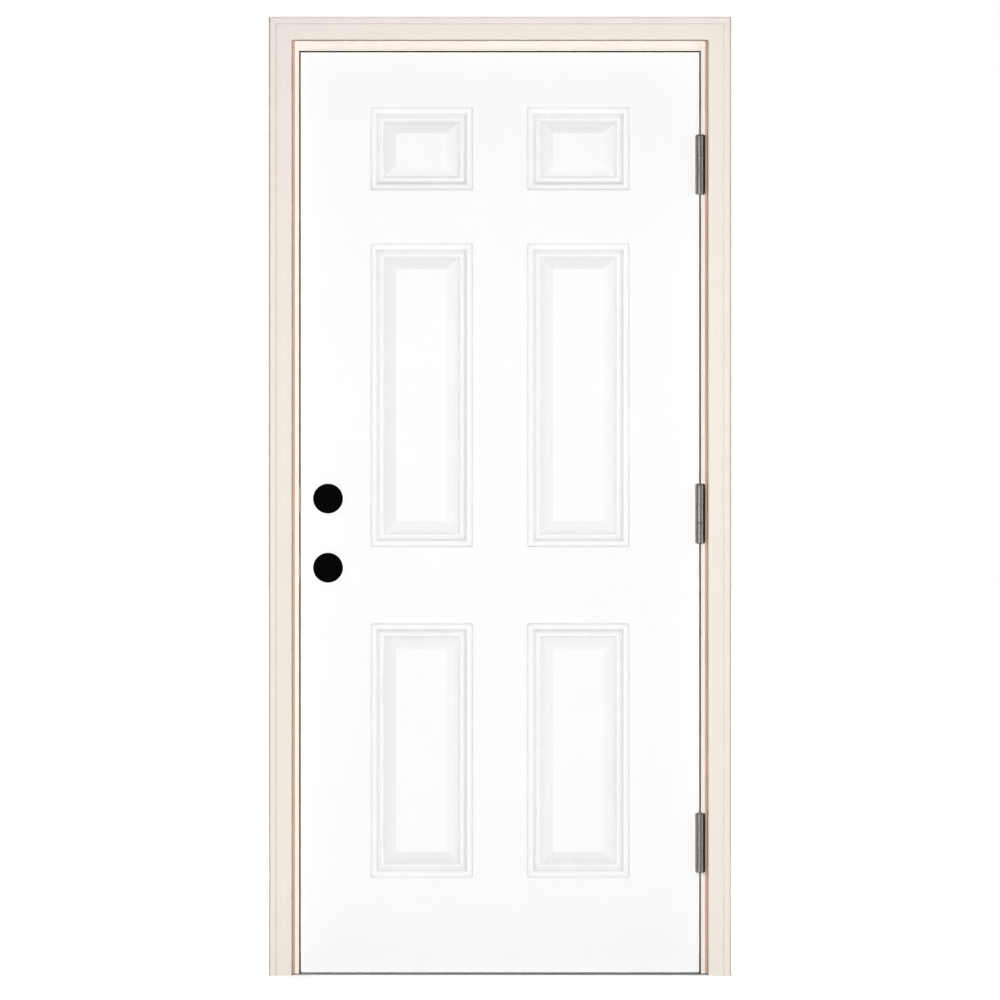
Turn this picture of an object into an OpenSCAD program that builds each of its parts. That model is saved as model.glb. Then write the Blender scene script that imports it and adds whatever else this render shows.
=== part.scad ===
// Panelled front door, hung in its own frame. The door swings outwards.
// X runs across the door, -Y is the outdoor side, Z is up.
// The origin is on the floor, half-way across, in the plane of the door's outdoor face.

/* [Door slab] */
// Width of the door slab
slab_w = 879; // [730:1:1060]
// Height of the door slab
slab_h = 2028; // [1690:1:2440]
// Thickness of the door slab
slab_t = 44.5; // [37:0.5:54]
// Thickness of each steel skin
skin_t = 0.6; // [0.5:0.1:1]
// Width of the wooden stile hidden at each long edge
edge_stile_w = 30; // [25:1:36]
// Height of the wooden rail hidden at the top
top_rail_h = 30; // [25:1:60]
// Height of the wooden rail hidden at the bottom
bottom_rail_h = 40; // [33:1:60]

/* [Raised panels] */
// Face width between a long edge and the panels
stile_face_w = 154.5; // [128:0.5:186]
// Face width between the two columns of panels
mullion_face_w = 121; // [100:0.5:146]
// Face height below the bottom panels
bottom_face_h = 208.5; // [173:0.5:251]
// Face height between the bottom and middle panels
lock_face_h = 169; // [140:0.5:203]
// Face height between the middle and top panels
frieze_face_h = 118; // [98:0.5:142]
// Face height above the top panels
top_face_h = 122; // [101:0.5:147]
// Height of the bottom panels
bottom_panel_h = 560; // [466:0.5:672]
// Height of the top panels
top_panel_h = 182; // [151:0.5:219]
// Width of the moulded edge round a panel
sticking_w = 30; // [25:0.5:36]
// Width of the bevel that rises to a panel's flat field
bevel_w = 26; // [21:0.5:31]
// Depth of the groove at the foot of the bevel
relief_d = 9; // [7.5:0.1:10.8]

/* [Lock preparation] */
// Radius of a lock bore
lock_bore_r = 27; // [22:0.5:32]
// Distance from the lock edge to the bores' centre
backset = 60.3; // [50:0.1:72]
// Height of the handle's bore above the door's lower edge
lockset_rise = 891.5; // [750:0.5:1060]
// Distance between the two lock bores
lock_spacing = 152.4; // [127:0.1:182]
// Radius of the latch's bore from the edge
latch_bore_r = 12.7; // [10.6:0.1:15]
// Width of a latch's faceplate
faceplate_w = 25.4; // [22:0.1:29]
// Length of a latch's faceplate
faceplate_h = 57.2; // [48:0.1:68]
// Depth of the pocket for a latch's faceplate
faceplate_d = 3.2; // [2:0.1:4]
// How far a blanking cover laps the face round its bore
cover_lap = 5.5; // [4:0.5:6.6]
// Thickness of a blanking cover
cover_t = 2.4; // [2:0.1:3]

/* [Frame] */
// Gap round the door's two long edges and top
edge_gap = 3; // [2.5:0.1:4]
// Depth of the jambs, from the outdoor edge to the indoor edge
jamb_d = 116; // [97:1:139]
// Depth of the step that the door shuts against
stop_h = 11; // [10:0.5:13]
// Room for the weatherstrip behind the door
seal_room = 7.5; // [6.5:0.5:9]
// Plain edge of the side jambs that shows beside the door
side_reveal = 10; // [8.5:0.5:12]
// Plain edge of the head jamb that shows above the door
head_reveal = 17; // [14:0.5:20]
// Width of the shadow groove between jamb and brickmould
groove_w = 5; // [4:0.5:6]
// Depth of the shadow groove
groove_d = 8; // [6.5:0.5:9.5]
// How far the brickmould laps the jamb
casing_lap = 7; // [6:0.5:8.5]
// Bevel along the lower outdoor corner of the head jamb
head_bevel = 8; // [6:0.5:9.5]

/* [Brickmould] */
// Width of the brickmould
casing_w = 51; // [42:0.5:61]
// Thickness of the brickmould
casing_t = 32; // [27:0.5:38]
// Radius of the brickmould's rounded edges
casing_round = 5; // [4:0.5:6]
// Width of the lower band along the brickmould's outer edge
casing_band_w = 13; // [11:0.5:15]
// Drop from the brickmould's face to the lower band
casing_band_d = 2; // [1:0.5:3]

/* [Hinges] */
// Height of a hinge
hinge_h = 127; // [106:1:152]
// Radius of a hinge's knuckles
knuckle_r = 11; // [9.5:0.5:13]
// Radius of a hinge pin
pin_r = 4; // [3.4:0.1:4.8]
// Thickness of a hinge leaf
leaf_t = 3.4; // [2.8:0.1:4]
// Wood left between a hinge leaf and the door's indoor face
leaf_backset = 13; // [10.8:0.1:15.6]
// Radius of a hinge leaf's two corners
leaf_corner_r = 12; // [10:0.5:14]
// Distance from the door's top to the middle of the upper hinge
upper_hinge_drop = 249; // [208:1:298]
// Distance from the door's lower edge to the middle of the lower hinge
lower_hinge_rise = 285.5; // [238:1:342]
// Distance of the middle hinge below the point half-way between the others
middle_hinge_drop = 22; // [0:1:60]
// Gap between a knuckle and the door's face
knuckle_gap = 1.2; // [0.8:0.1:1.6]
// Thickness of a bearing washer
washer_t = 1; // [0.8:0.1:1.2]

/* [Sill] */
// Thickness of the metal lip under the door
sill_lip_t = 3; // [2.5:0.1:3.6]
// How far the lip reaches outdoors past the jambs
sill_lip_run = 12; // [10:0.5:14]
// Height of the sill behind the door
sill_h = 30; // [26:0.5:36]
// Height of the sill at its indoor edge
sill_back_h = 14; // [12:0.5:17]
// Height of the sill where its slope turns down
sill_slope_h = 22; // [18.5:0.5:26]
// Wall of the sill's metal saddle
saddle_t = 2; // [1.7:0.1:2.4]
// Gap between the lip and the door's lower edge
floor_gap = 3; // [2.5:0.1:3.6]

/* [Screws and nails] */
// Radius of a hinge screw's shank
hinge_screw_r = 2.5; // [2:0.1:3]
// Radius of a hinge screw's head
hinge_screw_head_r = 4.8; // [4:0.1:5.8]
// Length of a hinge screw in the door
door_screw_l = 27; // [22:1:28]
// Length of a hinge screw in the jamb
jamb_screw_l = 19; // [16:1:20]
// Radius of the screws that hold the frame together
frame_screw_r = 2; // [1.6:0.1:2.4]
// Radius of a finish nail
nail_r = 1.1; // [0.9:0.1:1.3]
// Number of nails up each side's brickmould
nail_count = 6; // [4:1:8]

/* [Hidden] */
$fn = 64;

// Colours
enamel_white = "#fafaf8";
primer_cream = "#f5ece3";
bare_wood = "#c89f72";
foam_yellow = "#e6cf8e";
nickel_grey = "#a9a7a3";
zinc_grey = "#c4c6c8";
mill_metal = "#c9cbcd";
seal_grey = "#8d8f91";
cover_black = "#161616";
composite_tan = "#b9a88d";

// Clearances
run_gap = 0.3;        // between the door and anything that it must not rub
pin_clear = 0.05;     // round the hinge pins
fit_clear = 0.05;     // round screws and nails in their holes
mortise_clear = 0.1;  // round a hinge leaf in its pocket
cut_over = 1;         // how far a cut runs past the face that it opens

// Door slab
slab_x = slab_w / 2;
slab_z0 = sill_lip_t + floor_gap;
slab_z1 = slab_z0 + slab_h;
wood_x = slab_x - edge_stile_w;
core_z0 = slab_z0 + bottom_rail_h;
core_z1 = slab_z1 - top_rail_h;
hem_lip = 0.4;
hem_d = relief_d + skin_t + hem_lip;

// Panels: three rows of two
panel_w = (slab_w - 2 * stile_face_w - mullion_face_w) / 2;
middle_panel_h = slab_h - bottom_face_h - lock_face_h - frieze_face_h - top_face_h
    - bottom_panel_h - top_panel_h;
row_h = [bottom_panel_h, middle_panel_h, top_panel_h];
row_z = [
    slab_z0 + bottom_face_h,
    slab_z0 + bottom_face_h + bottom_panel_h + lock_face_h,
    slab_z1 - top_face_h - top_panel_h
];
column_x = [-mullion_face_w / 2 - panel_w, mullion_face_w / 2];
moulding_w = sticking_w + bevel_w;

// Moulding section: where each of its parts starts and how deep it lies
quirk_w = 1.5;
quirk_d = relief_d * 0.22;
band_w = sticking_w * 0.34;
band_d = relief_d * 0.34;
cove_w = sticking_w * 0.66;
cove_d = relief_d * 0.86;
bead_w = sticking_w * 0.93;
bead_rise = relief_d * 0.12;
groove_foot_w = 1.5;

// Lock bores
bore_x = -slab_x + backset;
bore_z = [slab_z0 + lockset_rise, slab_z0 + lockset_rise + lock_spacing];
block_wall = 22;
block_end_wall = 125;
block_x1 = bore_x + lock_bore_r + block_wall;
block_z0 = bore_z[0] - block_end_wall;
block_z1 = bore_z[1] + block_end_wall;
strike_pocket_d = 1.6;
cover_r = lock_bore_r + cover_lap;
cover_round = 1;
dish_r = lock_bore_r + 1;
dish_d = cover_t / 3;

// Frame
rabbet_x = slab_x + edge_gap;
rabbet_z = slab_z1 + edge_gap;
rabbet_d = slab_t + seal_room;
stop_x = rabbet_x - stop_h;
stop_z = rabbet_z - stop_h;
groove_x0 = rabbet_x + side_reveal;
casing_x0 = groove_x0 + groove_w;
casing_x1 = casing_x0 + casing_w;
jamb_x1 = casing_x0 + casing_lap;
groove_z0 = rabbet_z + head_reveal;
casing_z0 = groove_z0 + groove_w;
casing_z1 = casing_z0 + casing_w;
jamb_z1 = casing_z0 + casing_lap;
head_bevel_run = 4;
edge_ease = 1;

// Weatherstrip, held by a barb in a kerf sawn into the stop
kerf_w = 3;
kerf_d = 12;
kerf_off = stop_h / 2 - kerf_w / 2;
barb_w = kerf_w - 4 * fit_clear;
barb_d = kerf_d - 1;
seal_side = 1;
seal_w = stop_h - 2 * seal_side;
seal_y0 = slab_t + run_gap;
seal_round = 2;
pad_h = 45;

// Hinges
axis_x = slab_x + edge_gap / 2;
axis_y = -knuckle_r - knuckle_gap;
upper_hinge_z = slab_z1 - upper_hinge_drop;
lower_hinge_z = slab_z0 + lower_hinge_rise;
middle_hinge_z = (upper_hinge_z + lower_hinge_z) / 2 - middle_hinge_drop;
hinge_z = [upper_hinge_z, middle_hinge_z, lower_hinge_z];
knuckle_h = hinge_h / 3;
knuckle_bore_r = pin_r + pin_clear;
tongue_y = -knuckle_gap - knuckle_r * 0.5;
cap_h = 3.5;
cap_r = knuckle_r - 0.4;
tip_h = 2.5;
tip_r = knuckle_r - 1.2;
tip_shank = 6;
pin_end_gap = 1;
leaf_run = slab_t - leaf_backset;
dome_round = 1.8;
screw_z = [hinge_h * 0.4, hinge_h * 0.15, -hinge_h * 0.15, -hinge_h * 0.4];
screw_y = [leaf_run * 0.35, leaf_run * 0.68];
screw_head_t = hinge_screw_head_r * 0.5;
screw_point = 4;
drive_w = 1;
drive_l = 5;
drive_d = 1.6;

// Sill
sill_y0 = rabbet_d - 1;
sill_back = jamb_d;
sill_crown = sill_y0 + 9;
sill_slope_end = sill_back - 6;
bumper_barb = 5;
channel_d = bumper_barb + saddle_t;
substrate_y0 = sill_y0 + channel_d + saddle_t / 2;
bumper_z = [sill_h * 0.4, sill_h * 0.9];
bumper_slot_z = sill_h * 0.55;
bumper_round = 2;

// Sweep under the door
sweep_w = 28;
sweep_base_t = 1.4;
sweep_fin_w = 1.2;
sweep_fin_y = [4, 14, 24];
sweep_barb_y = [7, 21];
sweep_barb_h = 8;
sweep_barb_w = 2.4;
sweep_side = 1;

// Fasteners
nail_set = 2;
nail_l = 58;
nail_head_r = 1.6;
nail_head_t = 1;
nail_x = casing_x0 + casing_lap / 2;
nail_z = casing_z0 + casing_lap / 2;
nail_margin = 150;
frame_screw_head_r = 4;
frame_screw_head_t = 2;
head_screw_l = 55;
sill_screw_l = 70;
head_screw_y = [30, jamb_d - 26];
sill_screw_share = [6 / 19, 14 / 19];
sill_screw_y = [
    for (share = sill_screw_share) substrate_y0 + (sill_back - substrate_y0) * share
];
sill_screw_z = 9;

// ---------- shared shapes ----------

// Points of an arc, from one angle to another
function arc(centre, r, from, to, steps = 6) = [
    for (i = [0 : steps]) let (a = from + (to - from) * i / steps)
        centre + r * [cos(a), sin(a)]
];

// A box given by its lowest and highest corners
module span_box(low, high) {
    translate(low) cube(high - low);
}

// Extrudes an outline drawn in (y, z) along X
module along_x(x0, x1) {
    translate([x0, 0, 0]) rotate([90, 0, 90]) linear_extrude(x1 - x0) children();
}

// Extrudes an outline drawn in (x, z) along Y, from y0 to y1
module along_y(y0, y1) {
    translate([0, y1, 0]) rotate([90, 0, 0]) linear_extrude(y1 - y0) children();
}

// Extrudes an outline drawn in (x, y) along Z
module along_z(z0, z1) {
    translate([0, 0, z0]) linear_extrude(z1 - z0) children();
}

// Copies its children for the three hinges
module at_each_hinge() {
    for (z = hinge_z) translate([0, 0, z]) children();
}

// Copies its children at the points where a hinge leaf takes its screws
module at_leaf_screws() {
    for (i = [0 : len(screw_z) - 1]) translate([0, screw_y[i % 2], screw_z[i]]) children();
}

// The other side of the opening, for what is the same on both
module mirror_side() {
    mirror([1, 0, 0]) children();
}

// Both sides
module both_sides() {
    children();
    mirror_side() children();
}

// ---------- raised panels ----------

// Section of the hollow that a panel's moulding leaves: distance in from the panel's edge,
// depth below the face. A quirk, a band, a cove, a bead, a groove and a long bevel.
function moulding_section() = concat(
    [[0, -cut_over], [0, 0], [quirk_w, quirk_d], [band_w, band_d]],
    [for (i = [1 : 4]) [
        band_w + (cove_w - band_w) * i / 4,
        band_d + (cove_d - band_d) * (1 - cos(45 * i)) / 2
    ]],
    [for (i = [1 : 3]) [
        cove_w + (bead_w - cove_w) * i / 3,
        cove_d - bead_rise * sin(50 * i)
    ]],
    [
        [sticking_w, relief_d],
        [sticking_w + groove_foot_w, relief_d],
        [moulding_w, 0],
        [moulding_w, -cut_over]
    ]
);

// One side of a panel's moulding, cut to a mitre at both ends
module moulding_side(side_l) {
    intersection() {
        translate([side_l, 0, 0]) rotate([0, -90, 0]) linear_extrude(side_l)
            polygon(moulding_section());
        along_y(-2 * cut_over, relief_d + cut_over)
            polygon([
                [0, 0], [side_l, 0],
                [side_l - moulding_w, moulding_w], [moulding_w, moulding_w]
            ]);
    }
}

// The moulded hollow round one panel, with its lower left corner at the origin
module panel_hollow(w, h) {
    moulding_side(w);
    translate([w, 0, h]) rotate([0, 180, 0]) moulding_side(w);
    translate([w, 0, 0]) rotate([0, -90, 0]) moulding_side(h);
    translate([0, 0, h]) rotate([0, 90, 0]) moulding_side(h);
}

// The hollows of all the panels on the outdoor face
module face_hollows() {
    for (x = column_x, row = [0 : 2])
        translate([x, 0, row_z[row]]) panel_hollow(panel_w, row_h[row]);
}

// Turns a shape on the outdoor face into the same shape on the indoor face
module indoor_face() {
    translate([0, slab_t, 0]) mirror([0, 1, 0]) children();
}

// ---------- cuts in the door ----------

// The two through bores for the locks
module lock_bores() {
    for (z = bore_z)
        translate([bore_x, -cut_over, z]) rotate([-90, 0, 0])
            cylinder(r = lock_bore_r, h = slab_t + 2 * cut_over);
}

// The two bores from the lock edge, and the pockets for the latches' faceplates
module latch_bores() {
    for (z = bore_z) {
        translate([-slab_x - cut_over, slab_t / 2, z]) rotate([0, 90, 0])
            cylinder(r = latch_bore_r, h = backset + cut_over);
        span_box(
            [-slab_x - cut_over, slab_t / 2 - faceplate_w / 2, z - faceplate_h / 2],
            [-slab_x + faceplate_d, slab_t / 2 + faceplate_w / 2, z + faceplate_h / 2]
        );
    }
}

// Outline of a hinge leaf in (y, z), with its two far corners rounded
module leaf_outline(y0, grow = 0) {
    top = hinge_h / 2 + grow;
    far = leaf_run + grow;
    r = leaf_corner_r;
    translate([y0, -top]) square([far - r - y0, 2 * top]);
    translate([far - r - cut_over, -top + r]) square([r + cut_over, 2 * top - 2 * r]);
    for (z = [-top + r, top - r]) translate([far - r, z]) circle(r);
}

// Pocket for a leaf, with its mouth at x = 0 and its floor in +X
module leaf_pocket() {
    translate([-cut_over, 0, 0]) rotate([90, 0, 90])
        linear_extrude(leaf_t + cut_over) leaf_outline(-cut_over, mortise_clear);
}

// Holes for a leaf's screws, running from x = 0 in +X
module leaf_screw_holes(screw_l) {
    at_leaf_screws() rotate([0, 90, 0])
        cylinder(r = hinge_screw_r + fit_clear, h = screw_l + fit_clear);
}

// All that the hinges cut out of the door
module door_hinge_cuts() {
    at_each_hinge() translate([slab_x, 0, 0]) mirror_side() {
        leaf_pocket();
        leaf_screw_holes(door_screw_l);
    }
}

// ---------- the door ----------

// What lies behind the outdoor face, starting at a depth below it
module behind_face(depth, to) {
    difference() {
        span_box([-slab_x + depth, depth, slab_z0], [slab_x - depth, to, slab_z1]);
        translate([0, depth, 0]) face_hollows();
    }
}

// A pressed steel skin: the face with its panels, hemmed round both long edges
module skin() {
    difference() {
        behind_face(0, hem_d);
        difference() {
            span_box(
                [-slab_x + skin_t, skin_t, slab_z0 - cut_over],
                [slab_x - skin_t, hem_d + cut_over, slab_z1 + cut_over]
            );
            translate([0, skin_t, 0]) face_hollows();
        }
    }
}

module front_skin() {
    color(enamel_white) difference() {
        skin();
        lock_bores();
        latch_bores();
        door_hinge_cuts();
    }
}

module back_skin() {
    color(enamel_white) difference() {
        indoor_face() skin();
        lock_bores();
        latch_bores();
    }
}

// A stile at a long edge, with its edge let through between the two hems
module edge_stile() {
    span_box([wood_x, skin_t, slab_z0], [slab_x - skin_t, slab_t - skin_t, slab_z1]);
    span_box([wood_x, hem_d, slab_z0], [slab_x, slab_t - hem_d, slab_z1]);
}

module hinge_stile() {
    color(bare_wood) difference() {
        edge_stile();
        door_hinge_cuts();
    }
}

module lock_stile() {
    color(bare_wood) difference() {
        mirror_side() edge_stile();
        latch_bores();
    }
}

module top_rail() {
    color(bare_wood)
        span_box([-wood_x, skin_t, core_z1], [wood_x, slab_t - skin_t, slab_z1]);
}

// Holds the sweep's two barbs in kerfs
module bottom_rail() {
    color(bare_wood) difference() {
        span_box([-wood_x, skin_t, slab_z0], [wood_x, slab_t - skin_t, core_z0]);
        for (y = sweep_barb_y)
            translate([-slab_x, slab_t / 2 - sweep_w / 2 + y - fit_clear, slab_z0 - cut_over])
                cube([slab_w, sweep_barb_w + 2 * fit_clear, sweep_barb_h + cut_over + fit_clear]);
    }
}

module lock_block_blank() {
    span_box([-wood_x, skin_t, block_z0], [block_x1, slab_t - skin_t, block_z1]);
}

module lock_block() {
    color(bare_wood) difference() {
        lock_block_blank();
        lock_bores();
        latch_bores();
    }
}

module foam_core() {
    color(foam_yellow) difference() {
        span_box([-wood_x, skin_t, core_z0], [wood_x, slab_t - skin_t, core_z1]);
        translate([0, skin_t, 0]) face_hollows();
        indoor_face() translate([0, skin_t, 0]) face_hollows();
        lock_block_blank();
    }
}

// Black cap over a lock bore: a disc with a rounded rim, dished behind
module bore_cover(z) {
    translate([bore_x, 0, z]) rotate([90, 0, 0]) rotate_extrude()
        polygon(concat(
            [[0, dish_d], [dish_r, dish_d], [dish_r, 0], [cover_r, 0]],
            arc([cover_r - cover_round, cover_t - cover_round], cover_round, 0, 90),
            [[0, cover_t]]
        ));
}

module deadbolt_bore_cover() {
    color(cover_black) bore_cover(bore_z[1]);
}

module lockset_bore_cover() {
    color(cover_black) bore_cover(bore_z[0]);
}

// Vinyl sweep: a flat base with three fins below it and two barbs above it
module door_sweep() {
    base_z0 = slab_z0 - sweep_base_t;
    color(seal_grey) translate([0, slab_t / 2 - sweep_w / 2, 0])
        along_x(-slab_x + sweep_side, slab_x - sweep_side) {
            translate([0, base_z0]) square([sweep_w, sweep_base_t]);
            for (y = sweep_fin_y)
                translate([y - sweep_fin_w / 2, sill_lip_t + run_gap])
                    square([sweep_fin_w, base_z0 - sill_lip_t]);
        }
    color(seal_grey) translate([0, slab_t / 2 - sweep_w / 2, 0])
        along_x(-wood_x, wood_x)
            for (y = sweep_barb_y)
                translate([y, base_z0]) square([sweep_barb_w, sweep_barb_h + sweep_base_t]);
}

// ---------- the hinges ----------

// A hinge leaf's plate at x = 0 to leaf_t, cut back round the knuckles of the other leaf
module leaf_plate() {
    rotate([90, 0, 90]) linear_extrude(leaf_t) leaf_outline(0);
}

// Countersunk holes through a leaf whose face is at x = 0
module leaf_countersinks() {
    at_leaf_screws() {
        translate([-fit_clear, 0, 0]) rotate([0, 90, 0]) cylinder(
            r1 = hinge_screw_head_r + fit_clear,
            r2 = hinge_screw_r + fit_clear,
            h = screw_head_t + fit_clear
        );
        rotate([0, 90, 0]) cylinder(r = hinge_screw_r + fit_clear, h = leaf_t + cut_over);
    }
}

// One knuckle, from z0 to z1, with the tongue that joins it to its plate.
// The plate's face is face_x away from the pin.
module knuckle(z0, z1, face_x) {
    difference() {
        union() {
            translate([0, 0, z0]) cylinder(r = knuckle_r, h = z1 - z0);
            span_box([face_x, -axis_y + tongue_y, z0], [face_x + leaf_t, -axis_y, z1]);
        }
        translate([0, 0, z0 - cut_over])
            cylinder(r = knuckle_bore_r, h = z1 - z0 + 2 * cut_over);
    }
}

// The leaf on the jamb carries the top and bottom knuckles
module jamb_leaf(z) {
    color(nickel_grey) translate([0, 0, z]) {
        difference() {
            translate([rabbet_x, 0, 0]) leaf_plate();
            translate([rabbet_x, 0, 0]) leaf_countersinks();
        }
        translate([axis_x, axis_y, 0]) {
            knuckle(-hinge_h / 2, -hinge_h / 2 + knuckle_h, edge_gap / 2);
            knuckle(hinge_h / 2 - knuckle_h, hinge_h / 2, edge_gap / 2);
        }
    }
}

// The leaf on the door carries the middle knuckle
module door_leaf(z) {
    half = knuckle_h / 2 - washer_t - run_gap;
    color(nickel_grey) translate([0, 0, z]) {
        difference() {
            translate([slab_x, 0, 0]) mirror_side() leaf_plate();
            translate([slab_x, 0, 0]) mirror_side() leaf_countersinks();
        }
        translate([axis_x, axis_y, 0]) mirror_side() knuckle(-half, half, edge_gap / 2);
    }
}

module upper_hinge_jamb_leaf() { jamb_leaf(hinge_z[0]); }
module middle_hinge_jamb_leaf() { jamb_leaf(hinge_z[1]); }
module lower_hinge_jamb_leaf() { jamb_leaf(hinge_z[2]); }
module upper_hinge_door_leaf() { door_leaf(hinge_z[0]); }
module middle_hinge_door_leaf() { door_leaf(hinge_z[1]); }
module lower_hinge_door_leaf() { door_leaf(hinge_z[2]); }

// A pin with a domed cap that rests on the top knuckle
module hinge_pin(z) {
    shaft_l = hinge_h - tip_shank - pin_end_gap;
    color(nickel_grey) translate([axis_x, axis_y, z + hinge_h / 2]) {
        rotate_extrude() polygon(concat(
            [[0, 0], [cap_r, 0]],
            arc([cap_r - dome_round, cap_h - dome_round], dome_round, 0, 90),
            [[0, cap_h]]
        ));
        translate([0, 0, -shaft_l]) cylinder(r = pin_r, h = shaft_l + cap_h / 2);
    }
}

module upper_hinge_pin() { hinge_pin(hinge_z[0]); }
module middle_hinge_pin() { hinge_pin(hinge_z[1]); }
module lower_hinge_pin() { hinge_pin(hinge_z[2]); }

// Thrust washers above and below each door leaf's knuckle
module hinge_washers() {
    color(zinc_grey) at_each_hinge()
        for (z = [-knuckle_h / 2, knuckle_h / 2 - washer_t])
            translate([axis_x, axis_y, z]) difference() {
                cylinder(r = knuckle_r, h = washer_t);
                translate([0, 0, -cut_over])
                    cylinder(r = knuckle_bore_r, h = washer_t + 2 * cut_over);
            }
}

// Plugs that close the bottom knuckles
module hinge_tips() {
    color(nickel_grey) at_each_hinge() translate([axis_x, axis_y, -hinge_h / 2]) {
        rotate_extrude() polygon(concat(
            [[0, 0], [0, -tip_h]],
            arc([tip_r - dome_round, -tip_h + dome_round], dome_round, -90, 0),
            [[tip_r, 0]]
        ));
        translate([0, 0, -tip_h / 2]) cylinder(r = pin_r, h = tip_shank + tip_h / 2);
    }
}

// A countersunk screw with a crossed drive: its head's face is at x = 0, its point in +X
module hinge_screw(screw_l) {
    rotate([0, 90, 0]) difference() {
        union() {
            cylinder(r1 = hinge_screw_head_r, r2 = hinge_screw_r, h = screw_head_t);
            translate([0, 0, screw_head_t / 2])
                cylinder(r = hinge_screw_r, h = screw_l - screw_point - screw_head_t / 2);
            translate([0, 0, screw_l - screw_point])
                cylinder(r1 = hinge_screw_r, r2 = hinge_screw_r / 5, h = screw_point);
        }
        for (a = [0, 90]) rotate(a)
            translate([-drive_l / 2, -drive_w / 2, -cut_over])
                cube([drive_l, drive_w, drive_d + cut_over]);
    }
}

module jamb_hinge_screws() {
    color(nickel_grey) at_each_hinge() translate([rabbet_x, 0, 0])
        at_leaf_screws() hinge_screw(jamb_screw_l);
}

module door_hinge_screws() {
    color(nickel_grey) at_each_hinge() translate([slab_x, 0, 0]) mirror_side()
        at_leaf_screws() hinge_screw(door_screw_l);
}

// ---------- the jambs ----------

// Section of the +X side's jamb in (x, y), up to the head's stop
module side_jamb_section() {
    difference() {
        polygon([
            [rabbet_x + edge_ease, 0], [jamb_x1, 0], [jamb_x1, jamb_d], [stop_x, jamb_d],
            [stop_x, rabbet_d], [rabbet_x, rabbet_d], [rabbet_x, edge_ease]
        ]);
        translate([groove_x0, -cut_over]) square([groove_w, groove_d + cut_over]);
        translate([stop_x + kerf_off, rabbet_d - cut_over]) square([kerf_w, kerf_d + cut_over]);
    }
}

// The +X side's jamb with the head's groove carried across its top, and holes for the
// screws that hold the head and the sill
module side_jamb() {
    difference() {
        union() {
            along_z(0, stop_z) side_jamb_section();
            along_z(stop_z, groove_z0) intersection() {
                side_jamb_section();
                translate([rabbet_x, -cut_over]) square([jamb_x1, jamb_d + 2 * cut_over]);
            }
            span_box([rabbet_x, 0, groove_z0], [jamb_x1, jamb_d, jamb_z1]);
        }
        span_box(
            [rabbet_x - cut_over, -cut_over, groove_z0],
            [casing_x0, groove_d, casing_z0]
        );
        frame_screw_holes();
        side_nails(fit_clear);
    }
}

module hinge_jamb() {
    color(primer_cream) difference() {
        side_jamb();
        at_each_hinge() translate([rabbet_x, 0, 0]) {
            leaf_pocket();
            leaf_screw_holes(jamb_screw_l);
        }
    }
}

// Prepared for the strikes of a latch and a deadbolt
module strike_jamb() {
    color(primer_cream) difference() {
        mirror_side() side_jamb();
        for (z = bore_z) {
            translate([-jamb_x1 - cut_over, slab_t / 2, z]) rotate([0, 90, 0])
                cylinder(r = latch_bore_r, h = jamb_x1 - rabbet_x + 2 * cut_over);
            span_box(
                [-rabbet_x - strike_pocket_d, slab_t / 2 - faceplate_w / 2, z - faceplate_h / 2],
                [-rabbet_x + cut_over, slab_t / 2 + faceplate_w / 2, z + faceplate_h / 2]
            );
        }
    }
}

// The head, housed between the two side jambs
module head_jamb() {
    color(primer_cream) difference() {
        along_x(-rabbet_x, rabbet_x) difference() {
            polygon([
                [0, rabbet_z + head_bevel], [0, jamb_z1], [jamb_d, jamb_z1], [jamb_d, stop_z],
                [rabbet_d, stop_z], [rabbet_d, rabbet_z], [head_bevel_run, rabbet_z]
            ]);
            translate([-cut_over, groove_z0]) square([groove_d + cut_over, groove_w]);
            translate([rabbet_d - cut_over, stop_z + kerf_off])
                square([kerf_d + cut_over, kerf_w]);
        }
        frame_screw_holes();
        mirror_side() frame_screw_holes();
        head_nails(fit_clear);
    }
}

// ---------- the brickmould ----------

// Section of the brickmould: distance from its inner edge, height in front of the jamb
function casing_section() = let (
    low = casing_t - casing_band_d,
    band = casing_w - casing_band_w - casing_round
) concat(
    [[0, 0]],
    arc([casing_round, casing_t - casing_round], casing_round, 180, 90),
    [for (i = [0 : 4]) [
        band + casing_round * i / 4,
        casing_t - casing_band_d * (1 - cos(45 * i)) / 2
    ]],
    arc([casing_w - casing_round, low - casing_round], casing_round, 90, 0),
    [[casing_w, 0]]
);

// The whole brickmould of the +X side, before its mitre
module side_casing_stick() {
    along_z(0, casing_z1) translate([casing_x0, 0]) mirror([0, 1])
        polygon(casing_section());
}

// The region of the +X side's brickmould below the mitre
module side_mitre() {
    along_y(-casing_t - cut_over, cut_over) polygon([
        [casing_x0 - cut_over, -cut_over], [casing_x1 + cut_over, -cut_over],
        [casing_x1 + cut_over, casing_z1 + cut_over],
        [casing_x0 - cut_over, casing_z0 - cut_over]
    ]);
}

module side_casing() {
    difference() {
        intersection() {
            side_casing_stick();
            side_mitre();
        }
        side_nails(fit_clear);
    }
}

module hinge_side_brickmould() {
    color(primer_cream) side_casing();
}

module strike_side_brickmould() {
    color(primer_cream) mirror_side() side_casing();
}

module head_brickmould() {
    color(primer_cream) difference() {
        intersection() {
            along_x(-casing_x1, casing_x1) translate([0, casing_z0]) mirror([1, 0])
                rotate(90) mirror([0, 1]) polygon(casing_section());
            along_y(-casing_t - cut_over, cut_over) polygon([
                [-casing_x0 + cut_over, casing_z0 - cut_over],
                [casing_x0 - cut_over, casing_z0 - cut_over],
                [casing_x1 + cut_over, casing_z1 + cut_over],
                [-casing_x1 - cut_over, casing_z1 + cut_over]
            ]);
        }
        head_nails(fit_clear);
    }
}

// ---------- seals ----------

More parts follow.
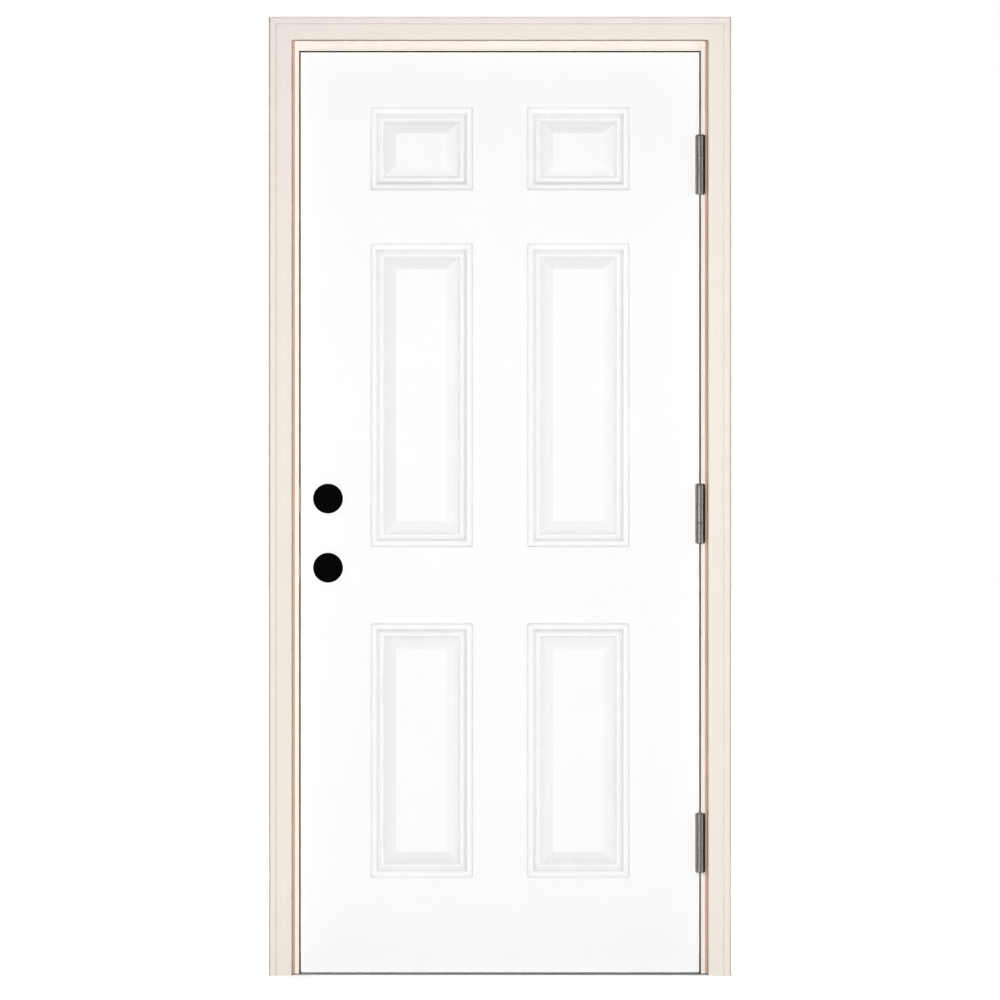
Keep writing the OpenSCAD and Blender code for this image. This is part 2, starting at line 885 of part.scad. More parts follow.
// Section of the weatherstrip: distance from the stop's edge, depth from outdoors
module seal_section() {
    w = seal_w;
    r = seal_round;
    translate([seal_side, seal_y0 + r]) square([w, rabbet_d - seal_y0 - r]);
    translate([seal_side + r, seal_y0]) square([w - 2 * r, r + cut_over]);
    for (x = [r, w - r]) translate([seal_side + x, seal_y0 + r]) circle(r);
    translate([kerf_off + (kerf_w - barb_w) / 2, rabbet_d - cut_over])
        square([barb_w, barb_d + cut_over]);
}

module side_seal() {
    along_z(pad_h, stop_z) translate([stop_x, 0]) seal_section();
}

module hinge_side_weatherstrip() {
    color(seal_grey) side_seal();
}

module strike_side_weatherstrip() {
    color(seal_grey) mirror_side() side_seal();
}

module head_weatherstrip() {
    color(seal_grey) along_x(-rabbet_x + seal_side, rabbet_x - seal_side)
        translate([0, stop_z]) mirror([1, -1]) seal_section();
}

// Foam pads that close the corners below the weatherstrips
module corner_seal_pads() {
    color(seal_grey) both_sides()
        span_box([stop_x + seal_side, seal_y0, sill_lip_t], [rabbet_x, rabbet_d - 1, pad_h]);
}

// ---------- the sill ----------

// Metal saddle: a thin lip under the door, a riser behind it and a slope to the indoors
module sill_saddle() {
    t = saddle_t;
    color(mill_metal) {
        span_box([-rabbet_x, 0, 0], [rabbet_x, rabbet_d, sill_lip_t]);
        span_box([-casing_x0, -sill_lip_run, 0], [casing_x0, 0, sill_lip_t]);
        difference() {
            along_x(-stop_x, stop_x) {
                polygon([
                    [sill_y0, 0], [sill_y0, sill_h - t], [sill_y0 + t, sill_h],
                    [sill_crown, sill_h], [sill_slope_end, sill_slope_h],
                    [sill_back, sill_back_h], [sill_back, 0],
                    [sill_back - t, 0], [sill_back - t, sill_back_h - t / 2],
                    [sill_slope_end - t / 2, sill_slope_h - t], [sill_crown, sill_h - t],
                    [sill_y0 + t, sill_h - t], [sill_y0 + t, 0]
                ]);
                translate([sill_y0, bumper_slot_z - t]) square([channel_d, kerf_w + 2 * t]);
            }
            span_box(
                [-rabbet_x, sill_y0 - cut_over, bumper_slot_z],
                [rabbet_x, sill_y0 + bumper_barb + fit_clear, bumper_slot_z + kerf_w]
            );
        }
    }
}

// Solid core of the sill, under the saddle
module sill_substrate() {
    t = saddle_t;
    color(composite_tan) difference() {
        along_x(-stop_x, stop_x) polygon([
            [substrate_y0, 0], [sill_back - t, 0], [sill_back - t, sill_back_h - t / 2],
            [sill_slope_end - t / 2, sill_slope_h - t], [sill_crown, sill_h - t],
            [substrate_y0, sill_h - t]
        ]);
        frame_screw_holes();
        mirror_side() frame_screw_holes();
    }
}

// Vinyl bumper that the door's lower edge shuts against
module sill_bumper_seal() {
    r = bumper_round;
    z0 = bumper_z[0];
    z1 = bumper_z[1];
    color(seal_grey) along_x(-stop_x, stop_x) {
        translate([seal_y0 + r, z0]) square([sill_y0 - seal_y0 - r, z1 - z0]);
        translate([seal_y0, z0 + r]) square([2 * r, z1 - z0 - 2 * r]);
        for (z = [z0 + r, z1 - r]) translate([seal_y0 + r, z]) circle(r);
        translate([sill_y0 - cut_over, bumper_slot_z + (kerf_w - barb_w) / 2])
            square([bumper_barb + cut_over, barb_w]);
    }
}

// ---------- fasteners of the frame ----------

// A nail, its head's face at z = 0 and its point in +Z
module nail(grow) {
    translate([0, 0, -grow]) cylinder(r = nail_head_r + grow, h = nail_head_t + 2 * grow);
    cylinder(r = nail_r + grow, h = nail_l + grow);
}

// Nails of the +X side's brickmould
module side_nails(grow) {
    span = casing_z0 - 2 * nail_margin;
    for (i = [0 : nail_count - 1])
        translate([nail_x, -casing_t + casing_round + nail_set,
                   nail_margin + span * i / (nail_count - 1)])
            rotate([-90, 0, 0]) nail(grow);
}

// Nails of the head's brickmould
module head_nails(grow) {
    for (x = [-1, 0, 1])
        translate([x * (casing_x0 - nail_margin), -casing_t + casing_round + nail_set, nail_z])
            rotate([-90, 0, 0]) nail(grow);
}

module brickmould_nails() {
    color(zinc_grey) {
        both_sides() side_nails(0);
        head_nails(0);
    }
}

// A screw through the +X side's jamb: its head is let in flush, its point in -X
module frame_screw(screw_l, grow) {
    rotate([0, -90, 0]) {
        translate([0, 0, -grow])
            cylinder(r = frame_screw_head_r + grow, h = frame_screw_head_t + 2 * grow);
        cylinder(r = frame_screw_r + grow, h = screw_l + grow);
    }
}

module head_screws(grow) {
    for (y = head_screw_y)
        translate([jamb_x1, y, (rabbet_z + jamb_z1) / 2]) frame_screw(head_screw_l, grow);
}

module base_screws(grow) {
    for (y = sill_screw_y)
        translate([jamb_x1, y, sill_screw_z]) frame_screw(sill_screw_l, grow);
}

module frame_screw_holes() {
    head_screws(fit_clear);
    base_screws(fit_clear);
}

module head_corner_screws() {
    color(zinc_grey) both_sides() head_screws(0);
}

module sill_screws() {
    color(zinc_grey) both_sides() base_screws(0);
}

// ---------- the nodes ----------

hinge_jamb();
strike_jamb();
head_jamb();
hinge_side_brickmould();
strike_side_brickmould();
head_brickmould();
hinge_side_weatherstrip();
strike_side_weatherstrip();
head_weatherstrip();
corner_seal_pads();
sill_substrate();
sill_saddle();
sill_bumper_seal();
brickmould_nails();
head_corner_screws();
sill_screws();
upper_hinge_jamb_leaf();
middle_hinge_jamb_leaf();
lower_hinge_jamb_leaf();
upper_hinge_pin();
middle_hinge_pin();
lower_hinge_pin();
hinge_washers();
hinge_tips();
jamb_hinge_screws();
front_skin();
back_skin();
hinge_stile();
lock_stile();
top_rail();
bottom_rail();
lock_block();
foam_core();
upper_hinge_door_leaf();
middle_hinge_door_leaf();
lower_hinge_door_leaf();
door_hinge_screws();
door_sweep();
deadbolt_bore_cover();
lockset_bore_cover();
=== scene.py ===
"""A panelled front door in its frame: pressed skins, timber, hinges, seals, sill and studio."""

import logging
import math
from contextlib import contextmanager
from dataclasses import dataclass, field
from enum import Enum
from functools import reduce
from typing import Callable, Iterable, Iterator, Sequence

import bmesh
import bpy
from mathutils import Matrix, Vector
from mathutils.geometry import delaunay_2d_cdt


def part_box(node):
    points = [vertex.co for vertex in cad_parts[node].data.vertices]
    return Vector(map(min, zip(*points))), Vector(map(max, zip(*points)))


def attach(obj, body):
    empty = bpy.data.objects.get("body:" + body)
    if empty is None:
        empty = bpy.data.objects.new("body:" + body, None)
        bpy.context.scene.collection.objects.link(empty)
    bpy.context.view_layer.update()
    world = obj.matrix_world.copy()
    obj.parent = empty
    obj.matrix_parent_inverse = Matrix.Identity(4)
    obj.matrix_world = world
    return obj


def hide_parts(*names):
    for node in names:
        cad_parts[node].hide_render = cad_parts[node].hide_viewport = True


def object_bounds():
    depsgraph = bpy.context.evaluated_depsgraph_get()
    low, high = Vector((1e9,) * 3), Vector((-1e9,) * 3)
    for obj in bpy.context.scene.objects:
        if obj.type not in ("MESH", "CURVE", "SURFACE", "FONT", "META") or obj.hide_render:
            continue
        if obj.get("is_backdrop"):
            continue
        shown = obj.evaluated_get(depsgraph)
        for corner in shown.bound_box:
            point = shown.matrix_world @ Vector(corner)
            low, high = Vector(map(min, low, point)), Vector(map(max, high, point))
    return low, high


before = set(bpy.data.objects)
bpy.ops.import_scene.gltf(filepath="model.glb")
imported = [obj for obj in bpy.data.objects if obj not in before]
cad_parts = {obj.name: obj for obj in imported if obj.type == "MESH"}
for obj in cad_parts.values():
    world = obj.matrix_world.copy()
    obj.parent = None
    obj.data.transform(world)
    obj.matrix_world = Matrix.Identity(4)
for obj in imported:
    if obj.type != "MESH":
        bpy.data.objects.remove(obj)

LOG = logging.getLogger("front_door")
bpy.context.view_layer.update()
MM = 0.001
MERGE = 1e-6
CAD_MERGE = 1e-5
QUARTER = math.pi / 2
WHITE = (1.0, 1.0, 1.0)

FRAME_BODY = "door_frame"
DOOR_BODY = "door"
HINGE_NAMES = ("upper", "middle", "lower")
BORE_COVERS = ("deadbolt_bore_cover", "lockset_bore_cover")
SIDE_MOULDING = "hinge_side_brickmould"
GROOVE_WIDTH = 5 * MM

# Angles in degrees above which an edge stays sharp
CAD_CREASE = 32.0
SKIN_CREASE = 34.0
SWEPT_CREASE = 30.0
TURNED_CREASE = 38.0
CAP_CREASE = 35.0
RIB_CREASE = 40.0

# Angle in degrees up to which faces count as one, and above which an edge is rounded
FLAT_LIMIT = 0.4
EASED_ABOVE = 35.0
# How far from 45 degrees a mitre's edge may run, as a share of its width
MITRE_SLACK = 0.02
# Share of a straight stretch that a rounded corner may take
CORNER_SHARE = 0.45
# Choice of the triangulation that keeps only the triangles within the lines
INSIDE_ONLY = 1

# Where most values of a noise, and of the wood's streaks, lie
NOISE_RANGE = (0.3, 0.7)
STREAK_RANGE = (0.35, 0.65)
NUMBER = "NodeSocketFloat"
# Which of a Mix node's sockets are its share, first and second colour, and which its result
MIX_INPUTS = (0, 6, 7)
MIX_RESULT = 2

Point2 = tuple[float, float]
Point3 = tuple[float, float, float]
Rectangle = tuple[float, float, float, float]
Colour = tuple[float, float, float]
Mesh = bpy.types.Mesh
Node = bpy.types.Node
NodeTree = bpy.types.NodeTree
Socket = bpy.types.NodeSocket
SceneObject = bpy.types.Object


# ---------------------------------------------------------------- outlines


def arc_points(centre: Point2, radius: float, start: float, end: float, steps: int) -> list[Point2]:
    """Points along an arc.

    Args:
        centre: Centre of the arc.
        radius: Radius of the arc.
        start: First angle, in degrees.
        end: Last angle, in degrees.
        steps: Number of steps between the two.

    Returns:
        The points, the two ends included.
    """
    angles = [math.radians(start + (end - start) * i / steps) for i in range(steps + 1)]
    return [(centre[0] + radius * math.cos(a), centre[1] + radius * math.sin(a)) for a in angles]


def rounded(points: Sequence[Point2], radii: Sequence[float], steps: int = 5) -> list[Point2]:
    """Rounds the inner corners of an open line.

    Args:
        points: Corners of the line.
        radii: Radius at each corner, with 0 where it stays sharp.
        steps: Number of steps round each corner.

    Returns:
        The line with a curve in place of each rounded corner.
    """
    made: list[Point2] = []
    last = len(points) - 1
    for i, (point, radius) in enumerate(zip(points, radii)):
        if i in (0, last) or radius <= 0:
            made.append(point)
            continue
        corner = Vector(point)
        before = Vector(points[i - 1]) - corner
        after = Vector(points[i + 1]) - corner
        half = before.angle(after, math.pi) / 2
        room = CORNER_SHARE * min(before.length, after.length)
        reach = min(radius / math.tan(half), room)
        a = corner + before.normalized() * reach
        b = corner + after.normalized() * reach
        for k in range(steps + 1):
            t = k / steps
            p = a * (1 - t) ** 2 + corner * 2 * t * (1 - t) + b * t ** 2
            made.append((p.x, p.y))
    return made


def held(points: Sequence[Point2], longest: float, hold: float) -> list[Point2]:
    """Adds a point near each end of the long straight stretches, so that they shade flat.

    Args:
        points: The line.
        longest: Length above which a stretch gets the two points.
        hold: Distance of each point from its end.

    Returns:
        The line with the points added.
    """
    made = [points[0]]
    for a, b in zip(points, points[1:]):
        start, end = Vector(a), Vector(b)
        run = end - start
        if run.length > longest:
            step = run.normalized() * hold
            made += [tuple(start + step), tuple(end - step)]
        made.append(b)
    return made


def ogee(start: Point2, end: Point2, steps: int) -> list[Point2]:
    """Gives an S-shaped curve that leaves both its ends level.

    Args:
        start: Its first point.
        end: Its last point.
        steps: Number of steps between the two.

    Returns:
        The points, the two ends included.
    """
    (x0, y0), (x1, y1) = start, end
    shares = [k / steps for k in range(steps + 1)]
    return [
        (x0 + (x1 - x0) * t, y0 + (y1 - y0) * (1 - math.cos(math.pi * t)) / 2) for t in shares
    ]


def middle(node: str) -> Point3:
    """Gives the middle of a CAD node's box.

    Args:
        node: Name of the node.

    Returns:
        The middle.
    """
    return tuple((low + high) / 2 for low, high in zip(*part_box(node)))


# ---------------------------------------------------------------- meshes


@contextmanager
def editing(mesh: Mesh) -> Iterator[bmesh.types.BMesh]:
    """Opens a mesh for editing, and writes it back at the end.

    Args:
        mesh: The mesh.

    Yields:
        The mesh, open for editing.
    """
    bm = bmesh.new()
    bm.from_mesh(mesh)
    yield bm
    bm.to_mesh(mesh)
    bm.free()


class MeshDraft:
    """Points and faces of a piece before they become a mesh."""

    def __init__(self) -> None:
        """Starts an empty draft."""
        self.points: list[Point3] = []
        self.faces: list[tuple[int, ...]] = []

    def add(self, points: Iterable[Point3]) -> list[int]:
        """Adds points.

        Args:
            points: The points.

        Returns:
            Their numbers.
        """
        first = len(self.points)
        self.points += [tuple(p) for p in points]
        return list(range(first, len(self.points)))

    def bridge(self, a: Sequence[int], b: Sequence[int], closed: bool = True) -> None:
        """Joins two rows of points with four-sided faces.

        Args:
            a: Numbers of the first row.
            b: Numbers of the second row, as many.
            closed: Whether the rows are rings.
        """
        count = len(a)
        for i in range(count if closed else count - 1):
            j = (i + 1) % count
            self.faces.append((a[i], a[j], b[j], b[i]))

    def mesh(self, name: str, flip: bool = False, outward: bool = False) -> Mesh:
        """Makes the mesh, with its doubles merged.

        Args:
            name: Name of the mesh.
            flip: Whether every face is turned over.
            outward: Whether the faces of a closed form are turned outwards.

        Returns:
            The mesh.
        """
        mesh = bpy.data.meshes.new(name)
        mesh.from_pydata(self.points, [], self.faces)
        with editing(mesh) as bm:
            bmesh.ops.remove_doubles(bm, verts=bm.verts, dist=MERGE)
            bmesh.ops.dissolve_degenerate(bm, edges=bm.edges, dist=MERGE)
            if outward:
                bmesh.ops.recalc_face_normals(bm, faces=bm.faces)
            if flip:
                bmesh.ops.reverse_faces(bm, faces=bm.faces)
        return mesh


def shade(mesh: Mesh, crease: float = CAD_CREASE, mitres: bool = False) -> None:
    """Shades a mesh smooth, with its edges kept.

    Args:
        mesh: The mesh.
        crease: Angle in degrees above which an edge stays sharp.
        mitres: Whether edges that run at 45 degrees across the door's face stay sharp too.
    """
    with editing(mesh) as bm:
        for face in bm.faces:
            face.smooth = True
        for edge in bm.edges:
            angle = edge.calc_face_angle(0.0)
            sharp = len(edge.link_faces) != 2 or angle > math.radians(crease)
            if mitres and not sharp:
                run = edge.verts[0].co - edge.verts[1].co
                off = abs(abs(run.x) - abs(run.z))
                sharp = abs(run.x) > MERGE and off < MITRE_SLACK * abs(run.x)
            edge.smooth = not sharp


def lathe(draft: MeshDraft, line: Sequence[Point2], centre: Point2, count: int,
          upright: bool = True) -> None:
    """Turns a line into a closed round form.

    Args:
        draft: Draft that the form goes in.
        line: Radius of each point and its place along the axis.
        centre: Where the axis lies, seen along it.
        count: Number of steps round.
        upright: Whether the axis is upright. Otherwise it runs from front to back.
    """
    rings: list[list[int]] = []
    for radius, along in line:
        steps = 1 if radius < MERGE else count
        ring = arc_points(centre, radius, 0, 360, count)[:steps]
        places = [(u, v, along) if upright else (u, along, v) for u, v in ring]
        rings.append(draft.add(places) * (count // steps))
    for lower, upper in zip(rings, rings[1:]):
        for i in range(count):
            j = (i + 1) % count
            corners = dict.fromkeys((lower[i], lower[j], upper[j], upper[i]))
            draft.faces.append(tuple(corners))


def dome(radius: float, base: float, rise: float, steps: int) -> list[Point2]:
    """Gives the section of a dome, for turning.

    Args:
        radius: Its radius.
        base: Place of its rim along the axis.
        rise: Its height, below 0 for a dome that points down.
        steps: Number of steps from rim to pole.

    Returns:
        The points from just above the rim to the pole.
    """
    angles = [math.radians(90 * k / steps) for k in range(1, steps)]
    curve = [(radius * math.cos(a), base + rise * math.sin(a)) for a in angles]
    return [*curve, (0.0, base + rise)]


def linked(name: str, data: bpy.types.ID) -> SceneObject:
    """Puts an object that holds the data in the scene.

    Args:
        name: Name of the object.
        data: Its mesh, camera or light.

    Returns:
        The object.
    """
    made = bpy.data.objects.new(name, data)
    bpy.context.scene.collection.objects.link(made)
    return made


def finished(name: str, mesh: Mesh, body: str, finish: "Finish",
             stands_for: Sequence[str] = ()) -> None:
    """Puts a finished mesh in the scene as a piece.

    Args:
        name: Name of the piece.
        mesh: Its mesh, in place.
        body: Body that it rides on.
        finish: Its finish.
        stands_for: CAD nodes that it replaces.
    """
    piece = linked(name, mesh)
    mesh.materials.clear()
    mesh.materials.append(finish.material())
    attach(piece, body)
    if stands_for:
        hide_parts(*stands_for)
    LOG.info("%s: %d faces on %s", name, len(mesh.polygons), body)


def stand_in(node: str, how: str, mesh: Mesh, body: str, finish: "Finish",
             crease: float | None = None) -> None:
    """Puts a finished mesh in the scene in place of a CAD node.

    Args:
        node: Name of the node.
        how: How the piece is made, which ends its name.
        mesh: Its mesh, in place.
        body: Body that it rides on.
        finish: Its finish.
        crease: Angle in degrees above which an edge stays sharp, if it isn't shaded yet.
    """
    if crease is not None:
        shade(mesh, crease)
    finished(f"{node}_{how}", mesh, body, finish, [node])


def applied(mesh: Mesh, kind: str, settings: dict[str, object],
            inputs: dict[str, object] | None = None) -> Mesh:
    """Runs a modifier on a mesh and gives the result as a plain mesh.

    Args:
        mesh: The mesh to start from.
        kind: The modifier's type.
        settings: Values of its properties.
        inputs: Values of its node tree's inputs, by identifier.

    Returns:
        The new mesh.
    """
    holder = linked("modifier_holder", mesh)
    modifier = holder.modifiers.new(kind.lower(), kind)
    for key, value in settings.items():
        setattr(modifier, key, value)
    for key, value in (inputs or {}).items():
        modifier[key] = value
    graph = bpy.context.evaluated_depsgraph_get()
    result = bpy.data.meshes.new_from_object(holder.evaluated_get(graph))
    bpy.data.objects.remove(holder)
    return result


def tidy_copy(node: str) -> Mesh:
    """Copies a CAD node's mesh, with its doubles merged and its flat faces made whole.

    Args:
        node: Name of the node.

    Returns:
        The copy.
    """
    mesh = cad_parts[node].data.copy()
    for name in [a.name for a in mesh.attributes if a.name in ("custom_normal", "sharp_edge")]:
        mesh.attributes.remove(mesh.attributes[name])
    flat = math.radians(FLAT_LIMIT)
    with editing(mesh) as bm:
        bmesh.ops.remove_doubles(bm, verts=bm.verts, dist=CAD_MERGE)
        bmesh.ops.dissolve_limit(bm, angle_limit=flat, verts=bm.verts, edges=bm.edges)
    shade(mesh)
    return mesh


def eased_copy(node: str, width: float, segments: int = 2) -> Mesh:
    """Copies a CAD node's mesh and rounds its edges.

    Args:
        node: Name of the node.
        width: Width of the rounding.
        segments: Steps across the rounding.

    Returns:
        The rounded copy.
    """
    return applied(tidy_copy(node), "BEVEL", {
        "width": width, "segments": segments, "limit_method": "ANGLE",
        "angle_limit": math.radians(EASED_ABOVE), "miter_outer": "MITER_ARC",
        "harden_normals": True,
    })


# ---------------------------------------------------------------- node trees


class Tree:
    """A node tree with short ways to add and link nodes."""

    def __init__(self, tree: NodeTree) -> None:
        """Wraps a tree."""
        self.tree = tree

    def node(self, kind: str, **settings: object) -> Node:
        """Adds a node.

        Args:
            kind: The node's type.
            **settings: Values of its properties.

        Returns:
            The node.
        """
        made = self.tree.nodes.new(kind)
        for key, value in settings.items():
            setattr(made, key, value)
        return made

    def put(self, socket: Socket, value: object) -> None:
        """Sets or links one input.

        Args:
            socket: The input.
            value: A value, or a socket to link from.
        """
        if isinstance(value, Socket):
            self.tree.links.new(value, socket)
        else:
            socket.default_value = value

    def feed(self, node: Node, **values: object) -> Node:
        """Sets or links a node's inputs, named in lower case with underscores.

        Args:
            node: The node.
            **values: A value, or a socket to link from.

        Returns:
            The node.
        """
        for key, value in values.items():
            wanted = key.replace("_", " ").lower()
            self.put(next(s for s in node.inputs if s.name.lower() == wanted and s.enabled), value)
        return node

    def fill(self, node: Node, *values: object) -> Node:
        """Sets or links a node's first inputs.

        Args:
            node: The node.
            *values: Values, or sockets to link from, in order.

        Returns:
            The node.
        """
        for socket, value in zip(node.inputs, values):
            self.put(socket, value)
        return node

    def math(self, operation: str, *values: object) -> Socket:
        """Adds a Math node with these inputs, and gives its output."""
        return self.fill(self.node("ShaderNodeMath", operation=operation), *values).outputs[0]

    def vector(self, operation: str, *values: object, output: str = "Vector") -> Socket:
        """Adds a Vector Math node with these inputs, and gives the named output."""
        made = self.fill(self.node("ShaderNodeVectorMath", operation=operation), *values)
        return made.outputs[output]

    def combine(self, **values: object) -> Socket:
        """Makes a vector of x, y and z, each 0 where it isn't given."""
        return self.feed(self.node("ShaderNodeCombineXYZ"), **values).outputs[0]

    def split(self, vector: Socket) -> bpy.types.NodeOutputs:
        """Gives a vector's X, Y and Z as sockets."""
        return self.fill(self.node("ShaderNodeSeparateXYZ"), vector).outputs

    def noise(self, where: Socket, scale: object, detail: float = 3.0,
              rough: float = 0.5) -> Socket:
        """Adds a Noise node.

        Args:
            where: Coordinates.
            scale: Its scale.
            detail: Its detail.
            rough: Its roughness.

        Returns:
            Its value.
        """
        made = self.node("ShaderNodeTexNoise")
        self.feed(made, vector=where, scale=scale, detail=detail, roughness=rough)
        return made.outputs["Fac"]

    def remap(self, value: Socket, low: float, high: float, to_low: object = 0.0,
              to_high: object = 1.0) -> Socket:
        """Adds a Map Range node that clamps.

        Args:
            value: The value.
            low: Where the range starts.
            high: Where the range ends.
            to_low: What it starts at.
            to_high: What it ends at.

        Returns:
            The mapped value.
        """
        made = self.node("ShaderNodeMapRange")
        return self.fill(made, value, low, high, to_low, to_high).outputs[0]

    def spread(self, noise: Socket, low: float = 0.0, high: float = 1.0) -> Socket:
        """Maps the usual range of a noise onto another range."""
        return self.remap(noise, *NOISE_RANGE, low, high)

    def mix(self, share: object, a: object, b: object) -> Socket:
        """Mixes two colours.

        Args:
            share: Share of the second.
            a: The first colour.
            b: The second colour.

        Returns:
            The mixed colour.
        """
        made = self.node("ShaderNodeMix", data_type="RGBA")
        for number, value in zip(MIX_INPUTS, (share, rgba(a), rgba(b))):
            self.put(made.inputs[number], value)
        return made.outputs[MIX_RESULT]


class Effect(Enum):
    """Effects that several finishes share, each a shader node group."""

    GRAIN = "grain"
    MOTTLE = "mottle"
    EDGE = "edge_wear"
    DRAWN = "drawn_lines"
    DUST = "settled_dust"
    RECESS = "recess_shade"


class EffectShelf:
    """Builds each shared effect once and hands it out."""

    WANDER_SCALE = 6.0
    PORE_RANGE = (0.5, 0.72)
    PORE_DEPTH = 0.6
    WORN_TURN = (0.02, 0.2)
    WORN_BREAK = (0.4, 0.65)
    FACING_UP = (0.3, 1.0)
    DUSTY = (0.35, 0.7)
    SHUT_IN = (0.55, 0.98)
    PAINTED_SHADE_PATCHES = (0.3, 0.6, 0.8, 1.0)

    _built: dict[Effect, NodeTree] = {}

    @classmethod
    def get(cls, effect: Effect) -> NodeTree:
        """Gives an effect's group, built on first use.

        Args:
            effect: The effect.

        Returns:
            The group.
        """
        if effect not in cls._built:
            cls._built[effect] = getattr(cls, f"_{effect.value}")()
        return cls._built[effect]

    @staticmethod
    def _start(name: str, inputs: dict[str, float], outputs: Sequence[str]) -> tuple:
        """Starts a group.

        Args:
            name: Its name.
            inputs: Its number inputs and their usual values. A Vector input comes first.
            outputs: Its number outputs.

        Returns:
            The tree's helper, the sockets that come in, and the output node.
        """
        group = bpy.data.node_groups.new(name, "ShaderNodeTree")
        face = group.interface
        face.new_socket("Vector", in_out="INPUT", socket_type="NodeSocketVector")
        for key, value in inputs.items():
            face.new_socket(key, in_out="INPUT", socket_type=NUMBER).default_value = value
        for key in outputs:
            face.new_socket(key, in_out="OUTPUT", socket_type=NUMBER)
        tree = Tree(group)
        return tree, tree.node("NodeGroupInput").outputs, tree.node("NodeGroupOutput")

    @classmethod
    def _grain(cls) -> NodeTree:
        """Wood grain: long streaks, fine pores and slow changes from board to board.

        Returns:
            The group.
        """
        tree, into, out = cls._start(
            "wood_grain", {"Streak": 160.0, "Pore": 900.0, "Wander": 0.01},
            ("Streaks", "Pores", "Height"),
        )
        wander = tree.math("SUBTRACT", tree.noise(into["Vector"], cls.WANDER_SCALE, 2.0), 0.5)
        shift = tree.math("MULTIPLY", wander, into["Wander"])
        bent = tree.vector("ADD", into["Vector"], tree.combine(x=shift, y=shift))
        streaks = tree.noise(bent, into["Streak"], 4.0, 0.6)
        pores = tree.remap(tree.noise(bent, into["Pore"], 2.0), *cls.PORE_RANGE)
        height = tree.math("SUBTRACT", streaks, tree.math("MULTIPLY", pores, cls.PORE_DEPTH))
        tree.feed(out, streaks=streaks, pores=pores, height=height)
        return tree.tree

    @classmethod
    def _mottle(cls) -> NodeTree:
        """Film of paint: broad patches, and the fine skin that a roller or a spray leaves.

        Returns:
            The group.
        """
        tree, into, out = cls._start(
            "paint_mottle", {"Patch": 5.0, "Skin": 700.0}, ("Patches", "Skin")
        )
        patches = tree.spread(tree.noise(into["Vector"], into["Patch"], 3.0))
        tree.feed(out, patches=patches, skin=tree.noise(into["Vector"], into["Skin"], 2.0))
        return tree.tree

    @classmethod
    def _edge_wear(cls) -> NodeTree:
        """Wear along edges: where a rounded normal leaves the true one, broken up by noise.

        Returns:
            The group.
        """
        tree, into, out = cls._start("edge_wear", {"Reach": 0.001, "Break": 140.0}, ("Mask",))
        bevel = tree.node("ShaderNodeBevel", samples=4)
        tree.feed(bevel, radius=into["Reach"])
        plain = tree.node("ShaderNodeNewGeometry").outputs["Normal"]
        same = tree.vector("DOT_PRODUCT", bevel.outputs[0], plain, output="Value")
        turned = tree.remap(tree.math("SUBTRACT", 1.0, same), *cls.WORN_TURN)
        broken = tree.remap(tree.noise(into["Vector"], into["Break"], 4.0), *cls.WORN_BREAK)
        tree.feed(out, mask=tree.math("MULTIPLY", turned, broken))
        return tree.tree

    @classmethod
    def _drawn_lines(cls) -> NodeTree:
        """Fine lines that drawing, brushing or extruding leaves in metal and vinyl.

        Returns:
            The group.
        """
        tree, into, out = cls._start(
            "drawn_lines", {"Fine": 3000.0, "Broad": 400.0}, ("Lines", "Bands")
        )
        lines = tree.noise(into["Vector"], into["Fine"], 2.0, 0.6)
        tree.feed(out, lines=lines, bands=tree.noise(into["Vector"], into["Broad"], 2.0))
        return tree.tree

    @classmethod
    def _settled_dust(cls) -> NodeTree:
        """A thin film of dust on what faces up.

        Returns:
            The group.
        """
        tree, into, out = cls._start("settled_dust", {"Patch": 30.0}, ("Mask",))
        normal = tree.split(tree.node("ShaderNodeNewGeometry").outputs["Normal"])
        patches = tree.remap(tree.noise(into["Vector"], into["Patch"], 4.0), *cls.DUSTY)
        up = tree.remap(normal["Z"], *cls.FACING_UP)
        tree.feed(out, mask=tree.math("MULTIPLY", up, patches))
        return tree.tree

    @classmethod
    def _recess_shade(cls) -> NodeTree:
        """Painted shade in quirks, coves and other recesses: darker where little lies open around a
        point, broken into patches.

        Returns:
            The group.
        """
        tree, into, out = cls._start("recess_shade", {"Reach": 0.03, "Patch": 60.0}, ("Mask",))
        # Painted shade: occlusion within a short reach darkens the colour
        cavity = tree.node("ShaderNodeAmbientOcclusion", samples=6, only_local=True)
        tree.feed(cavity, distance=into["Reach"])
        shut = tree.remap(cavity.outputs["AO"], *cls.SHUT_IN, 1.0, 0.0)
        patches = tree.remap(tree.noise(into["Vector"], into["Patch"], 2.0), *cls.PAINTED_SHADE_PATCHES)
        tree.feed(out, mask=tree.math("MULTIPLY", shut, patches))
        return tree.tree


# ---------------------------------------------------------------- finishes


class Run(Enum):
    """Axis that a board, an extrusion or a brushed part runs along."""

    ACROSS = (0.03, 1.0, 1.0)
    UPRIGHT = (1.0, 1.0, 0.03)
    ROUND_UPRIGHT = (0.03, 0.03, 1.0)


BUILT_MATERIALS: dict[str, bpy.types.Material] = {}


